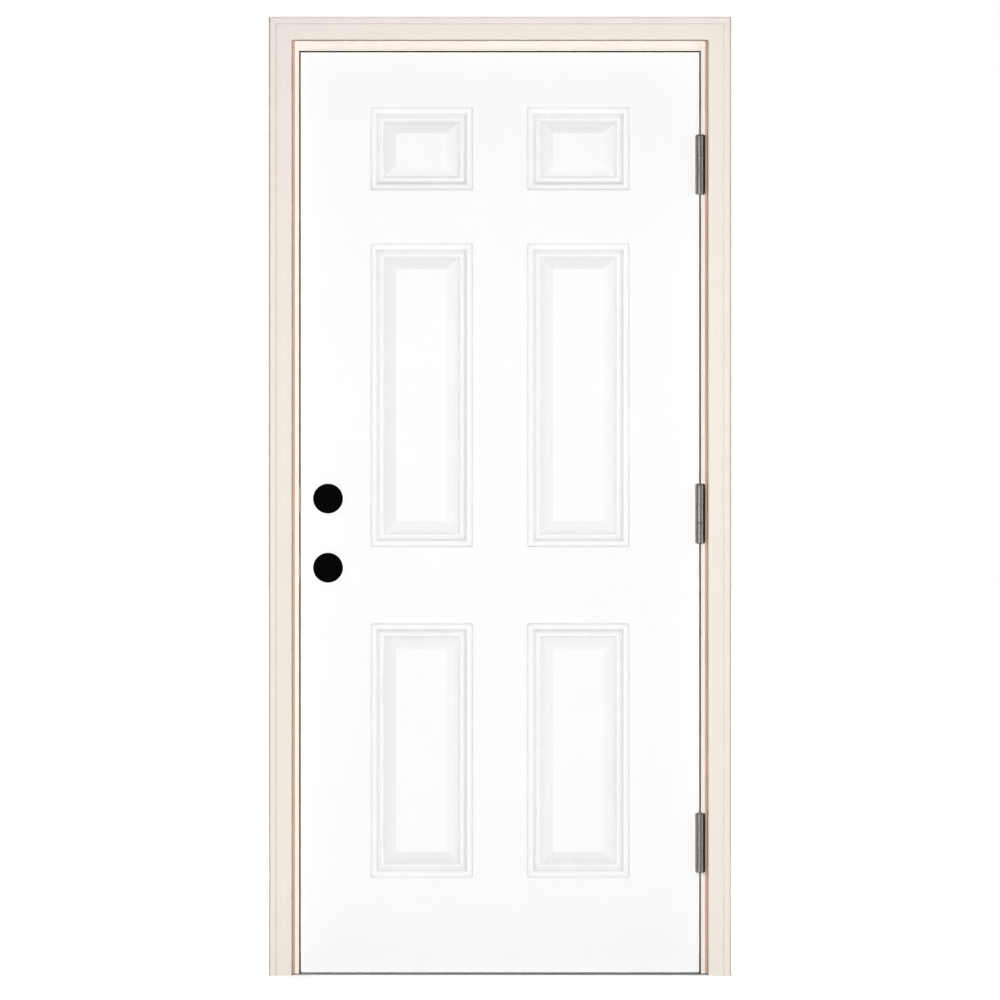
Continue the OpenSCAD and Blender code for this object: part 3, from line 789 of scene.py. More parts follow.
@dataclass(frozen=True)
class Finish:
    """A surface finish: its name, and the record's slot that it belongs to."""

    name: str
    slot: str

    def material(self) -> bpy.types.Material:
        """Gives the finish's material, built on first use.

        Returns:
            The material.
        """
        if self.name not in BUILT_MATERIALS:
            made = bpy.data.materials.new(self.name)
            BUILT_MATERIALS[self.name] = made
            made.use_nodes = True
            self.build(Tree(made.node_tree), made.node_tree.nodes["Principled BSDF"])
        return BUILT_MATERIALS[self.name]

    def build(self, tree: Tree, shader: Node) -> None:
        """Builds the nodes that feed the shader.

        Args:
            tree: The material's tree.
            shader: The shader that it feeds.
        """
        raise NotImplementedError

    def place(self, tree: Tree, run: Run | None = None) -> Socket:
        """Gives coordinates on the door, stretched along a run.

        Args:
            tree: The material's tree.
            run: The run, or None for no stretch.

        Returns:
            The coordinates, in metres.
        """
        where = tree.node("ShaderNodeTexCoord").outputs["Object"]
        if run is None:
            return where
        mapping = tree.node("ShaderNodeMapping")
        return tree.feed(mapping, vector=where, scale=run.value).outputs[0]

    def effect(self, tree: Tree, effect: Effect, where: Socket,
               **values: float) -> bpy.types.NodeOutputs:
        """Places a shared effect.

        Args:
            tree: The material's tree.
            effect: The effect.
            where: Coordinates.
            **values: Values of its inputs.

        Returns:
            The sockets that come out of it.
        """
        made = tree.node("ShaderNodeGroup")
        made.node_tree = EffectShelf.get(effect)
        return tree.feed(made, vector=where, **values).outputs

    def bump(self, tree: Tree, height: Socket, depth: float) -> Socket:
        """Gives the normal of a surface with a little relief.

        Args:
            tree: The material's tree.
            height: Height, from 0 to 1.
            depth: Depth of the relief in metres.

        Returns:
            The normal.
        """
        made = tree.node("ShaderNodeBump")
        return tree.feed(made, height=height, strength=1.0, distance=depth).outputs[0]


def rgba(colour: Colour | Socket) -> tuple[float, ...] | Socket:
    """Gives a colour an alpha of 1, and hands a socket back as it is."""
    return colour if isinstance(colour, Socket) else (*colour, 1.0)


@dataclass(frozen=True)
class Enamel(Finish):
    """White stoved enamel on steel: even, half glossy, with the faint skin of spraying, and painted
    shade in its recesses.
    """

    colour: Colour = (0.83, 0.83, 0.826)
    shade: Colour = (0.818, 0.82, 0.822)
    # Grey of the painted shade that darkens the recesses
    painted_shade: Colour = (0.55, 0.55, 0.545)
    dust: Colour = (0.6, 0.57, 0.52)
    dust_share: float = 0.05

    def build(self, tree: Tree, shader: Node) -> None:
        """Builds the enamel.

        Args:
            tree: The material's tree.
            shader: The shader that it feeds.
        """
        where = self.place(tree)
        film = self.effect(tree, Effect.MOTTLE, where, patch=3.0, skin=850.0)
        dust = self.effect(tree, Effect.DUST, where, patch=40.0)
        recess = self.effect(tree, Effect.RECESS, where)
        base = tree.mix(film["Patches"], self.colour, self.shade)
        # Painted shade: the recesses turn grey in colour
        base = tree.mix(recess["Mask"], base, self.painted_shade)
        base = tree.mix(tree.math("MULTIPLY", dust["Mask"], self.dust_share), base, self.dust)
        tree.feed(shader, base_color=base, roughness=tree.spread(film["Skin"], 0.34, 0.42),
                  specular_ior_level=0.35, coat_weight=0.04, coat_roughness=0.25,
                  normal=self.bump(tree, film["Skin"], 0.03 * MM))


@dataclass(frozen=True)
class PrimedTimber(Finish):
    """Timber under thin off-white primer: joined blocks of slightly different tint show
    through, and the grain lies faintly in the film."""

    run: Run = Run.UPRIGHT
    colour: Colour = (0.785, 0.745, 0.71)
    pink: Colour = (0.797, 0.733, 0.704)
    yellow: Colour = (0.785, 0.757, 0.687)
    worn: Colour = (0.62, 0.5, 0.4)
    worn_share: float = 0.25
    tint_shares: tuple[float, float] = (0.2, 0.8)
    # Browns of the groove: unprimed wood, and in part painted shade that darkens the line beyond
    # its own shadow
    bare_dark: Colour = (0.52, 0.38, 0.3)
    bare_light: Colour = (0.73, 0.58, 0.48)
    groove: tuple[float, float] | None = None
    groove_lap: float = 0.3 * MM
    groove_depths: tuple[float, float] = (0.6 * MM, 20 * MM)

    def build(self, tree: Tree, shader: Node) -> None:
        """Builds the primed timber, with its brown groove where it has one.

        Args:
            tree: The material's tree.
            shader: The shader that it feeds.
        """
        where = self.place(tree, self.run)
        plain = self.place(tree)
        grain = self.effect(tree, Effect.GRAIN, where, streak=120.0, pore=700.0)
        film = self.effect(tree, Effect.MOTTLE, where, patch=26.0, skin=500.0)
        tint = tree.mix(film["Patches"], self.pink, self.yellow)
        share = tree.remap(grain["Streaks"], *STREAK_RANGE, *self.tint_shares)
        base = tree.mix(share, self.colour, tint)
        wear = self.effect(tree, Effect.EDGE, plain, reach=1.2 * MM)
        base = tree.mix(tree.math("MULTIPLY", wear["Mask"], self.worn_share), base, self.worn)
        # The groove's brown is partly unprimed wood and partly painted shade
        if self.groove:
            bare_and_shade = tree.mix(grain["Streaks"], self.bare_dark, self.bare_light)
            base = tree.mix(self.in_groove(tree, plain), base, bare_and_shade)
        tree.feed(shader, base_color=base, roughness=tree.spread(film["Skin"], 0.55, 0.7),
                  normal=self.bump(tree, grain["Height"], 0.08 * MM))

    def in_groove(self, tree: Tree, where: Socket) -> Socket:
        """Gives a mask of the brown groove: between two distances from the middle, and sunk.

        Args:
            tree: The material's tree.
            where: Coordinates.

        Returns:
            The mask, 1 in the groove.
        """
        at = tree.split(where)
        out = tree.math("ABSOLUTE", at["X"])
        low, high = self.groove
        masks = [
            tree.math("GREATER_THAN", out, low - self.groove_lap),
            tree.math("LESS_THAN", out, high + self.groove_lap),
            tree.math("GREATER_THAN", at["Y"], self.groove_depths[0]),
            tree.math("LESS_THAN", at["Y"], self.groove_depths[1]),
        ]
        return reduce(lambda a, b: tree.math("MULTIPLY", a, b), masks)


@dataclass(frozen=True)
class BareTimber(Finish):
    """Planed softwood with no coating."""

    run: Run = Run.UPRIGHT
    light: Colour = (0.66, 0.46, 0.28)
    dark: Colour = (0.46, 0.28, 0.15)
    pore: Colour = (0.2, 0.11, 0.06)
    pore_share: float = 0.5

    def build(self, tree: Tree, shader: Node) -> None:
        """Builds the bare timber.

        Args:
            tree: The material's tree.
            shader: The shader that it feeds.
        """
        where = self.place(tree, self.run)
        grain = self.effect(tree, Effect.GRAIN, where, streak=150.0, pore=1100.0, wander=0.02)
        base = tree.mix(tree.remap(grain["Streaks"], *STREAK_RANGE), self.light, self.dark)
        base = tree.mix(tree.math("MULTIPLY", grain["Pores"], self.pore_share), base, self.pore)
        tree.feed(shader, base_color=base, roughness=tree.spread(grain["Streaks"], 0.55, 0.75),
                  normal=self.bump(tree, grain["Height"], 0.15 * MM))


@dataclass(frozen=True)
class DrawnMetal(Finish):
    """Metal with the fine lines of brushing, drawing or extruding."""

    run: Run = Run.ROUND_UPRIGHT
    light: Colour = (0.58, 0.57, 0.55)
    dark: Colour = (0.46, 0.45, 0.435)
    bright: Colour = (0.78, 0.77, 0.75)
    worn_share: float = 0.4
    smooth: float = 0.3
    coarse: float = 0.45
    depth: float = 0.004 * MM

    def build(self, tree: Tree, shader: Node) -> None:
        """Builds the metal.

        Args:
            tree: The material's tree.
            shader: The shader that it feeds.
        """
        where = self.place(tree, self.run)
        drawn = self.effect(tree, Effect.DRAWN, where, fine=2600.0, broad=300.0)
        wear = self.effect(tree, Effect.EDGE, self.place(tree), reach=0.8 * MM)
        base = tree.mix(drawn["Bands"], self.dark, self.light)
        base = tree.mix(tree.math("MULTIPLY", wear["Mask"], self.worn_share), base, self.bright)
        tree.feed(shader, base_color=base, metallic=1.0,
                  roughness=tree.spread(drawn["Lines"], self.smooth, self.coarse),
                  normal=self.bump(tree, drawn["Lines"], self.depth))


@dataclass(frozen=True)
class SoftVinyl(Finish):
    """Extruded vinyl or foam-filled skin."""

    run: Run = Run.UPRIGHT
    light: Colour = (0.78, 0.785, 0.785)
    dark: Colour = (0.72, 0.725, 0.725)

    def build(self, tree: Tree, shader: Node) -> None:
        """Builds the vinyl.

        Args:
            tree: The material's tree.
            shader: The shader that it feeds.
        """
        drawn = self.effect(tree, Effect.DRAWN, self.place(tree, self.run), fine=900.0, broad=90.0)
        film = self.effect(tree, Effect.MOTTLE, self.place(tree), patch=40.0, skin=1500.0)
        height = tree.math("ADD", drawn["Lines"], film["Skin"])
        tree.feed(shader, base_color=tree.mix(drawn["Bands"], self.dark, self.light),
                  roughness=tree.spread(film["Skin"], 0.5, 0.68),
                  normal=self.bump(tree, height, 0.05 * MM))


@dataclass(frozen=True)
class MouldedPlastic(Finish):
    """Moulded plastic, foam or composite with a fine even texture."""

    # The default colours, darker than any real plastic, are painted shade for the bore caps
    light: Colour = (0.003, 0.003, 0.003)
    dark: Colour = (0.002, 0.002, 0.002)
    cells: float = 1800.0
    depth: float = 0.03 * MM
    matt: float = 0.75
    unevenness: float = 0.08
    specular: float = 0.12

    def build(self, tree: Tree, shader: Node) -> None:
        """Builds the plastic.

        Args:
            tree: The material's tree.
            shader: The shader that it feeds.
        """
        where = self.place(tree)
        film = self.effect(tree, Effect.MOTTLE, where, patch=25.0, skin=600.0)
        cells = tree.node("ShaderNodeTexVoronoi")
        tree.feed(cells, vector=where, scale=self.cells)
        rough = tree.spread(film["Skin"], self.matt - self.unevenness, self.matt + self.unevenness)
        tree.feed(shader, base_color=tree.mix(film["Patches"], self.dark, self.light),
                  roughness=rough, specular_ior_level=self.specular,
                  normal=self.bump(tree, cells.outputs["Distance"], self.depth))


# ---------------------------------------------------------------- geometry nodes


class Grower:
    """Runs a Geometry Nodes tree on a piece's starting points and keeps the plain mesh."""

    def __init__(self, name: str, inputs: dict[str, float]) -> None:
        """Starts a tree.

        Args:
            name: Its name.
            inputs: Its number inputs and their usual values.
        """
        self.group = bpy.data.node_groups.new(name, "GeometryNodeTree")
        face = self.group.interface
        face.new_socket("Geometry", in_out="INPUT", socket_type="NodeSocketGeometry")
        for key, value in inputs.items():
            face.new_socket(key, in_out="INPUT", socket_type=NUMBER).default_value = value
        face.new_socket("Material", in_out="INPUT", socket_type="NodeSocketMaterial")
        face.new_socket("Geometry", in_out="OUTPUT", socket_type="NodeSocketGeometry")
        self.tree = Tree(self.group)
        self.into = self.tree.node("NodeGroupInput").outputs
        self.out = self.tree.node("NodeGroupOutput")

    def shifted(self, geometry: Socket, **offset: object) -> Socket:
        """Moves a geometry by x, y and z, each 0 where it isn't given.

        Args:
            geometry: The geometry.
            **offset: How far it moves along each axis.

        Returns:
            The moved geometry.
        """
        made = self.tree.node("GeometryNodeTransform")
        self.tree.feed(made, geometry=geometry, translation=self.tree.combine(**offset))
        return made.outputs[0]

    def sweep(self, curve: Socket, profile: Socket) -> Socket:
        """Sweeps a profile along a curve, with its ends closed.

        Args:
            curve: The curve.
            profile: The closed profile.

        Returns:
            The mesh.
        """
        made = self.tree.node("GeometryNodeCurveToMesh")
        self.tree.feed(made, curve=curve, profile_curve=profile, fill_caps=True)
        return made.outputs[0]

    def joined(self, parts: Iterable[Socket]) -> Socket:
        """Joins geometries into one.

        Args:
            parts: The geometries.

        Returns:
            The joined geometry.
        """
        made = self.tree.node("GeometryNodeJoinGeometry")
        for part in parts:
            self.tree.put(made.inputs[0], part)
        return made.outputs[0]

    def on_points(self, instance: Socket, **values: object) -> Socket:
        """Puts a copy of a geometry on each starting point.

        Args:
            instance: The geometry.
            **values: Values of the node's other inputs.

        Returns:
            The copies.
        """
        made = self.tree.node("GeometryNodeInstanceOnPoints")
        self.tree.feed(made, points=self.into["Geometry"], instance=instance, **values)
        return made.outputs[0]

    def end(self, geometry: Socket) -> None:
        """Ends the tree with Realize Instances and Set Material.

        Args:
            geometry: What the tree has made.
        """
        real = self.tree.fill(self.tree.node("GeometryNodeRealizeInstances"), geometry)
        dress = self.tree.node("GeometryNodeSetMaterial")
        self.tree.feed(dress, geometry=real.outputs[0], material=self.into["Material"])
        self.tree.fill(self.out, dress.outputs[0])

    def grow(self, start: Mesh, finish: Finish, **values: float) -> Mesh:
        """Runs the tree.

        Args:
            start: The mesh that it starts from.
            finish: The finish that it sets.
            **values: Values of its inputs, named in lower case with underscores.

        Returns:
            The plain mesh.
        """
        given = {"material": finish.material(), **values}
        keys = {
            item.name.lower().replace(" ", "_"): item.identifier
            for item in self.group.interface.items_tree if item.in_out == "INPUT"
        }
        inputs = {keys[key]: value for key, value in given.items()}
        return applied(start, "NODES", {"node_group": self.group}, inputs)


def point_mesh(points: Iterable[Point3], edges: Sequence[tuple[int, int]] = ()) -> Mesh:
    """Makes a mesh of points, and of edges if any, for a tree to start from.

    Args:
        points: The points.
        edges: Numbers of the two points of each edge.

    Returns:
        The mesh.
    """
    mesh = bpy.data.meshes.new("points")
    mesh.from_pydata([tuple(p) for p in points], edges, [])
    return mesh


class ScrewGrower(Grower):
    """Countersunk wood screws with a crossed drive and a real thread, one at each point."""

    SIDES = 20
    TIP_LENGTH = 2.0
    TIP_RADIUS = 0.2 * MM
    THREAD_SPAN = (0.34, 0.86)
    THREAD_SIDES = 4
    TURN_STEPS = 14

    def __init__(self) -> None:
        """Builds the tree. A screw's head lies at its point, and its tip points along +Z."""
        super().__init__("wood_screws", {
            "Head Radius": 4.8 * MM, "Head Height": 2.4 * MM, "Shank Radius": 2.0 * MM,
            "Length": 27 * MM, "Pitch": 1.9 * MM, "Thread Height": 0.5 * MM,
            "Drive Width": 1.0 * MM, "Drive Length": 5 * MM, "Drive Depth": 1.6 * MM,
            "Turn X": 0.0, "Turn Y": 0.0,
        })
        tree, into = self.tree, self.into
        shank_r, head_h = into["Shank Radius"], into["Head Height"]
        tip_l = tree.math("MULTIPLY", shank_r, self.TIP_LENGTH)
        tip_z = tree.math("SUBTRACT", into["Length"], tip_l)
        head = self.solid_cone(into["Head Radius"], shank_r, head_h, 0.0)
        shank = self.solid_cone(shank_r, shank_r, tree.math("SUBTRACT", tip_z, head_h), head_h)
        tip = self.solid_cone(shank_r, self.TIP_RADIUS, tip_l, tip_z)
        cut = tree.node("GeometryNodeMeshBoolean", operation="DIFFERENCE", solver="EXACT")
        tree.put(cut.inputs[0], head)
        for turned in (False, True):
            tree.put(cut.inputs[1], self.drive_slot(turned))
        screw = self.joined((self.thread(), tip, shank, cut.outputs[0]))
        turn = tree.combine(x=into["Turn X"], y=into["Turn Y"])
        self.end(self.on_points(screw, rotation=turn))

    def solid_cone(self, low: object, high: object, depth: object, lift: object) -> Socket:
        """Adds a closed cone frustum that starts at a height.

        Args:
            low: Radius at its start.
            high: Radius at its end.
            depth: Its length.
            lift: Height of its start.

        Returns:
            The mesh.
        """
        cone = self.tree.node("GeometryNodeMeshCone", fill_type="NGON")
        self.tree.feed(cone, vertices=self.SIDES, radius_bottom=low, radius_top=high, depth=depth)
        return self.shifted(cone.outputs["Mesh"], z=lift)

    def drive_slot(self, turned: bool) -> Socket:
        """Adds one bar of the crossed drive, sunk in the head.

        Args:
            turned: Whether it lies across the other bar.

        Returns:
            The mesh.
        """
        tree, into = self.tree, self.into
        sides = [into["Drive Length"], into["Drive Width"]]
        x, y = reversed(sides) if turned else sides
        size = tree.combine(x=x, y=y, z=tree.math("MULTIPLY", into["Drive Depth"], 2.0))
        return tree.feed(tree.node("GeometryNodeMeshCube"), size=size).outputs["Mesh"]

    def thread(self) -> Socket:
        """Adds the thread: a small profile swept along a helix round the shank.

        Returns:
            The mesh.
        """
        tree, into = self.tree, self.into
        start, stop = (tree.math("MULTIPLY", into["Length"], s) for s in self.THREAD_SPAN)
        run = tree.math("SUBTRACT", stop, start)
        helix = tree.node("GeometryNodeCurveSpiral")
        tree.feed(helix, resolution=self.TURN_STEPS, height=run,
                  rotations=tree.math("DIVIDE", run, into["Pitch"]),
                  start_radius=into["Shank Radius"], end_radius=into["Shank Radius"])
        profile = tree.node("GeometryNodeCurvePrimitiveCircle")
        tree.feed(profile, resolution=self.THREAD_SIDES, radius=into["Thread Height"])
        return self.sweep(self.shifted(helix.outputs[0], z=start), profile.outputs[0])


class RibGrower(Grower):
    """Fine half-round ribs side by side along a line of points."""

    SIDES = 12

    def __init__(self) -> None:
        """Builds the tree: a long thin round bar on each point, along X."""
        super().__init__("tread_ribs", {"Length": 0.86, "Radius": 0.5 * MM})
        tree, into = self.tree, self.into
        bar = tree.node("GeometryNodeMeshCylinder", fill_type="NGON")
        tree.feed(bar, vertices=self.SIDES, radius=into["Radius"], depth=into["Length"])
        laid = tree.node("GeometryNodeTransform")
        tree.feed(laid, geometry=bar.outputs["Mesh"], rotation=(0.0, QUARTER, 0.0))
        self.end(self.on_points(laid.outputs[0]))


class SealGrower(Grower):
    """Foam-filled weatherstrip swept along a line: a round-edged bulb and a barb with fins."""

    FIN_PLACES = (0.45, 0.7, 0.93)
    FIN_THICK = 0.6 * MM
    BARB_ROUND = 0.2 * MM
    ROUND_STEPS = 5

    def __init__(self) -> None:
        """Builds the tree. Each section is a closed curve swept along the piece's edges."""
        super().__init__("weatherstrip", {
            "Bulb Width": 9 * MM, "Bulb Depth": 7.2 * MM, "Round": 2.2 * MM,
            "Barb Width": 1.0 * MM, "Barb Depth": 11 * MM, "Fin Width": 2.8 * MM,
            "Barb Place": 0.0, "Turn": 0.0,
        })
        tree, into = self.tree, self.into
        path = tree.fill(tree.node("GeometryNodeMeshToCurve"), into["Geometry"])
        tilted = tree.node("GeometryNodeSetCurveTilt")
        tree.feed(tilted, curve=path.outputs[0], tilt=into["Turn"])
        wide, deep = into["Bulb Width"], into["Bulb Depth"]
        y = tree.math("MULTIPLY", deep, -0.5)
        sections = [self.section(wide, deep, 0.0, y, into["Round"])]
        slats = [(into["Barb Width"], into["Barb Depth"], 0.5)]
        slats += [(into["Fin Width"], self.FIN_THICK, share) for share in self.FIN_PLACES]
        for wide, deep, share in slats:
            y = tree.math("MULTIPLY", into["Barb Depth"], share)
            sections.append(self.section(wide, deep, into["Barb Place"], y, self.BARB_ROUND))
        self.end(self.joined([self.sweep(tilted.outputs[0], section) for section in sections]))

    def section(self, wide: object, deep: object, x: object, y: object,
                radius: object) -> Socket:
        """Adds a rounded rectangle.

        Args:
            wide: Its width.
            deep: Its depth.
            x: Place of its middle across.
            y: Place of its middle in depth.
            radius: Radius of its corners.

        Returns:
            The closed curve.
        """
        box = self.tree.node("GeometryNodeCurvePrimitiveQuadrilateral")
        self.tree.feed(box, width=wide, height=deep)
        soft = self.tree.node("GeometryNodeFilletCurve", mode="POLY")
        self.tree.feed(soft, curve=box.outputs[0], count=self.ROUND_STEPS, limit_radius=True,
                       radius=radius)
        return self.shifted(soft.outputs[0], x=x, y=y)


# ---------------------------------------------------------------- the door's skins


class Side(Enum):
    """The two faces of the door."""

    OUTDOOR = "front_skin"
    INDOOR = "back_skin"


@dataclass
class PressedSkin:
    """A steel skin with its panels pressed in, hemmed round the two long edges."""

    side: Side
    finish: Finish
    sheet: float = 0.6 * MM
    hem: float = 9.4 * MM
    hem_hold: float = 0.4 * MM
    bend: float = 1.4 * MM
    bend_steps: int = 6
    stile_face: float = 154.5 * MM
    mullion_face: float = 121 * MM
    bottom_face: float = 208.5 * MM
    lock_face: float = 169 * MM
    top_face: float = 122 * MM
    bottom_panel: float = 560 * MM
    frieze_face: float = 118 * MM
    top_panel: float = 182 * MM
    sticking: float = 30 * MM
    arris: float = 1.5 * MM
    foot: float = 1.5 * MM
    bevel: float = 26 * MM
    relief: float = 9 * MM
    crisp: float = 0.5 * MM
    arris_extra: float = 0.1 * MM
    soft: float = 1.6 * MM
    cove_steps: int = 12
    bead_steps: int = 10
    long_run: float = 3 * MM
    bore_radius: float = 27 * MM
    bore_steps: int = 96
    pocket: float = 3.4 * MM
    pocket_clear: float = 0.1 * MM
    hold: float = 0.8 * MM
    draft: MeshDraft = field(default_factory=MeshDraft)

    # Shares of the sticking's width: where the cove and the bead start, and where the bead ends
    PLACES = (0.34, 0.66, 0.93)
    # Shares of the relief: the arris, the top of the cove, the cove's fall and the bead's rise
    DEPTHS = (0.22, 0.34, 0.52, 0.12)
    # Angle that the bead's curve turns through, in degrees
    BEAD_TURN = 150

    def __post_init__(self) -> None:
        """Takes the door's corners from the frame."""
        lows, highs = zip(*(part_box(side.value) for side in Side))
        self.low, self.high = Vector(map(min, *lows)), Vector(map(max, *highs))
        self.pocket_end = self.high.x - self.pocket - self.pocket_clear

    def panels(self) -> list[Rectangle]:
        """Gives each panel's left, right, lower and upper edge.

        Returns:
            The rectangles, from the bottom up, the left column first.
        """
        width = (self.high.x - self.low.x - 2 * self.stile_face - self.mullion_face) / 2
        lefts = (self.low.x + self.stile_face, self.mullion_face / 2)
        bottom = self.low.z + self.bottom_face
        centre = bottom + self.bottom_panel + self.lock_face
        top = self.high.z - self.top_face - self.top_panel
        rows = (
            (bottom, bottom + self.bottom_panel),
            (centre, top - self.frieze_face),
            (top, top + self.top_panel),
        )
        return [(x, x + width, low, high) for x in lefts for low, high in rows]

    def moulding(self) -> list[Point2]:
        """Gives the moulding's section: distance in from the panel's edge, and depth.

        Returns:
            The section's points.
        """
        s, d = self.sticking, self.relief
        cove_x, bead_x, bead_end = (share * s for share in self.PLACES)
        arris_y, cove_y, fall, rise = (share * d for share in self.DEPTHS)
        bead_y = cove_y + fall
        cove = ogee((cove_x, cove_y), (bead_x, bead_y), self.cove_steps)[1:]
        turn, steps = math.radians(self.BEAD_TURN), self.bead_steps
        bead = [
            (bead_x + (bead_end - bead_x) * k / steps, bead_y - rise * math.sin(turn * k / steps))
            for k in range(1, steps + 1)
        ]
        crisp = self.crisp
        start = rounded(
            [(-self.hold, 0), (0, 0), (self.arris, arris_y), (cove_x, cove_y)],
            [0, crisp, crisp + self.arris_extra, 0],
        )
        whole = s + self.bevel
        end = rounded(
            [bead[-1], (s, d), (s + self.foot, d), (whole, 0), (whole + 2 * self.hold, 0)],
            [0, crisp, crisp, self.soft, 0],
        )
        return held(start + cove + bead[:-1] + end, self.long_run, self.hold / 2)

    def press(self, panel: Rectangle) -> None:
        """Adds one panel's moulding and its flat field.

        Args:
            panel: Its left, right, lower and upper edge.
        """
        left, right, bottom, top = panel
        ring: list[int] = []
        for inset, depth in self.moulding():
            x0, x1, z0, z1 = left + inset, right - inset, bottom + inset, top - inset
            corners = ((x0, z0), (x1, z0), (x1, z1), (x0, z1))
            after = self.draft.add((x, depth, z) for x, z in corners)
            if ring:
                self.draft.bridge(ring, after)
            ring = after
        self.draft.faces.append(tuple(ring))

    def pockets(self) -> list[tuple[float, float]]:
        """Gives the lower and upper end of each hinge pocket, from the bottom up.

        Returns:
            The heights. The indoor skin has no pockets.
        """
        if self.side is Side.INDOOR:
            return []
        boxes = [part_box(f"{name}_hinge_door_leaf") for name in reversed(HINGE_NAMES)]
        return [(low.z - self.pocket_clear, high.z + self.pocket_clear) for low, high in boxes]

    def flat_outline(self) -> list[Point2]:
        """Gives the flat face's outer line, anticlockwise, let in at the hinge pockets.

        Returns:
            The corners.
        """
        x0, x1 = self.low.x + self.bend + self.hold, self.high.x - self.bend - self.hold
        line = [(x0, self.low.z), (x1, self.low.z)]
        for low, high in self.pockets():
            line += [(x1, low), (self.pocket_end, low), (self.pocket_end, high), (x1, high)]
        return line + [(x1, self.high.z), (x0, self.high.z)]

    def bores(self) -> list[Point2]:
        """Gives the centres of the two lock bores, which their covers share."""
        return [middle(node)[::2] for node in BORE_COVERS]

    def lay_flat(self) -> None:
        """Adds the flat face between the panels, open at the panels and the bores."""
        hold = self.hold
        holes = [(l - hold, r + hold, b - hold, t + hold) for l, r, b, t in self.panels()]
        loops = [
            self.flat_outline(),
            *([(l, b), (r, b), (r, t), (l, t)] for l, r, b, t in holes),
            *(arc_points(c, self.bore_radius, 0, 360, self.bore_steps)[:-1] for c in self.bores()),
        ]
        points: list[Vector] = []
        edges: list[tuple[int, int]] = []
        for loop in loops:
            first, count = len(points), len(loop)
            points += [Vector(p) for p in loop]
            edges += [(first + i, first + (i + 1) % count) for i in range(count)]
        flat, _, triangles, *_ = delaunay_2d_cdt(points, edges, [], INSIDE_ONLY, MERGE / 10)
        numbers = self.draft.add((p.x, 0.0, p.y) for p in flat)
        for triangle in triangles:
            centre = sum((flat[i] for i in triangle), Vector((0, 0))) / 3
            if self.is_solid(centre, holes):
                self.draft.faces.append(tuple(numbers[i] for i in triangle))

    def is_solid(self, at: Vector, holes: Sequence[Rectangle]) -> bool:
        """Says whether a point of the face is steel.

        Args:
            at: The point, across and up.
            holes: Left, right, lower and upper edge of each panel's opening.

        Returns:
            False in a panel, a bore or a hinge pocket.
        """
        if any(l < at.x < r and b < at.y < t for l, r, b, t in holes):
            return False
        if any((at - Vector(c)).length < self.bore_radius for c in self.bores()):
            return False
        return not any(l < at.y < h and at.x > self.pocket_end for l, h in self.pockets())

    def fold_hems(self) -> None:
        """Adds the bend and the hem along each long edge, open at the hinge pockets."""
        curve = arc_points((0.0, self.bend), self.bend, -90, 0, self.bend_steps)
        line = [(-self.hold, 0.0), *curve, (self.bend, self.bend + self.hem_hold),
                (self.bend, self.hem)]
        breaks = [self.low.z, *(z for pair in self.pockets() for z in pair), self.high.z]
        stretches = [(1, *ends) for ends in zip(breaks[::2], breaks[1::2])]
        for hand, *ends in (*stretches, (-1, self.low.z, self.high.z)):
            root = self.high.x - self.bend if hand > 0 else self.low.x + self.bend
            rows = [self.draft.add((root + hand * x, y, z) for x, y in line) for z in ends]
            self.draft.bridge(*rows[::hand], closed=False)

    def build(self) -> None:
        """Builds the skin. The indoor one is the outdoor one mirrored through the door."""
        self.lay_flat()
        for panel in self.panels():
            self.press(panel)
        self.fold_hems()
        indoor = self.side is Side.INDOOR
        if indoor:
            thick = self.high.y - self.low.y
            self.draft.points = [(x, thick - y, z) for x, y, z in self.draft.points]
        mesh = applied(self.draft.mesh(self.side.value, flip=indoor), "SOLIDIFY", {
            "thickness": self.sheet, "offset": -1.0, "use_even_offset": True,
            "use_quality_normals": True,
        })
        shade(mesh, SKIN_CREASE, mitres=True)
        stand_in(self.side.value, "pressed", mesh, DOOR_BODY, self.finish)


# ---------------------------------------------------------------- brickmould and jambs


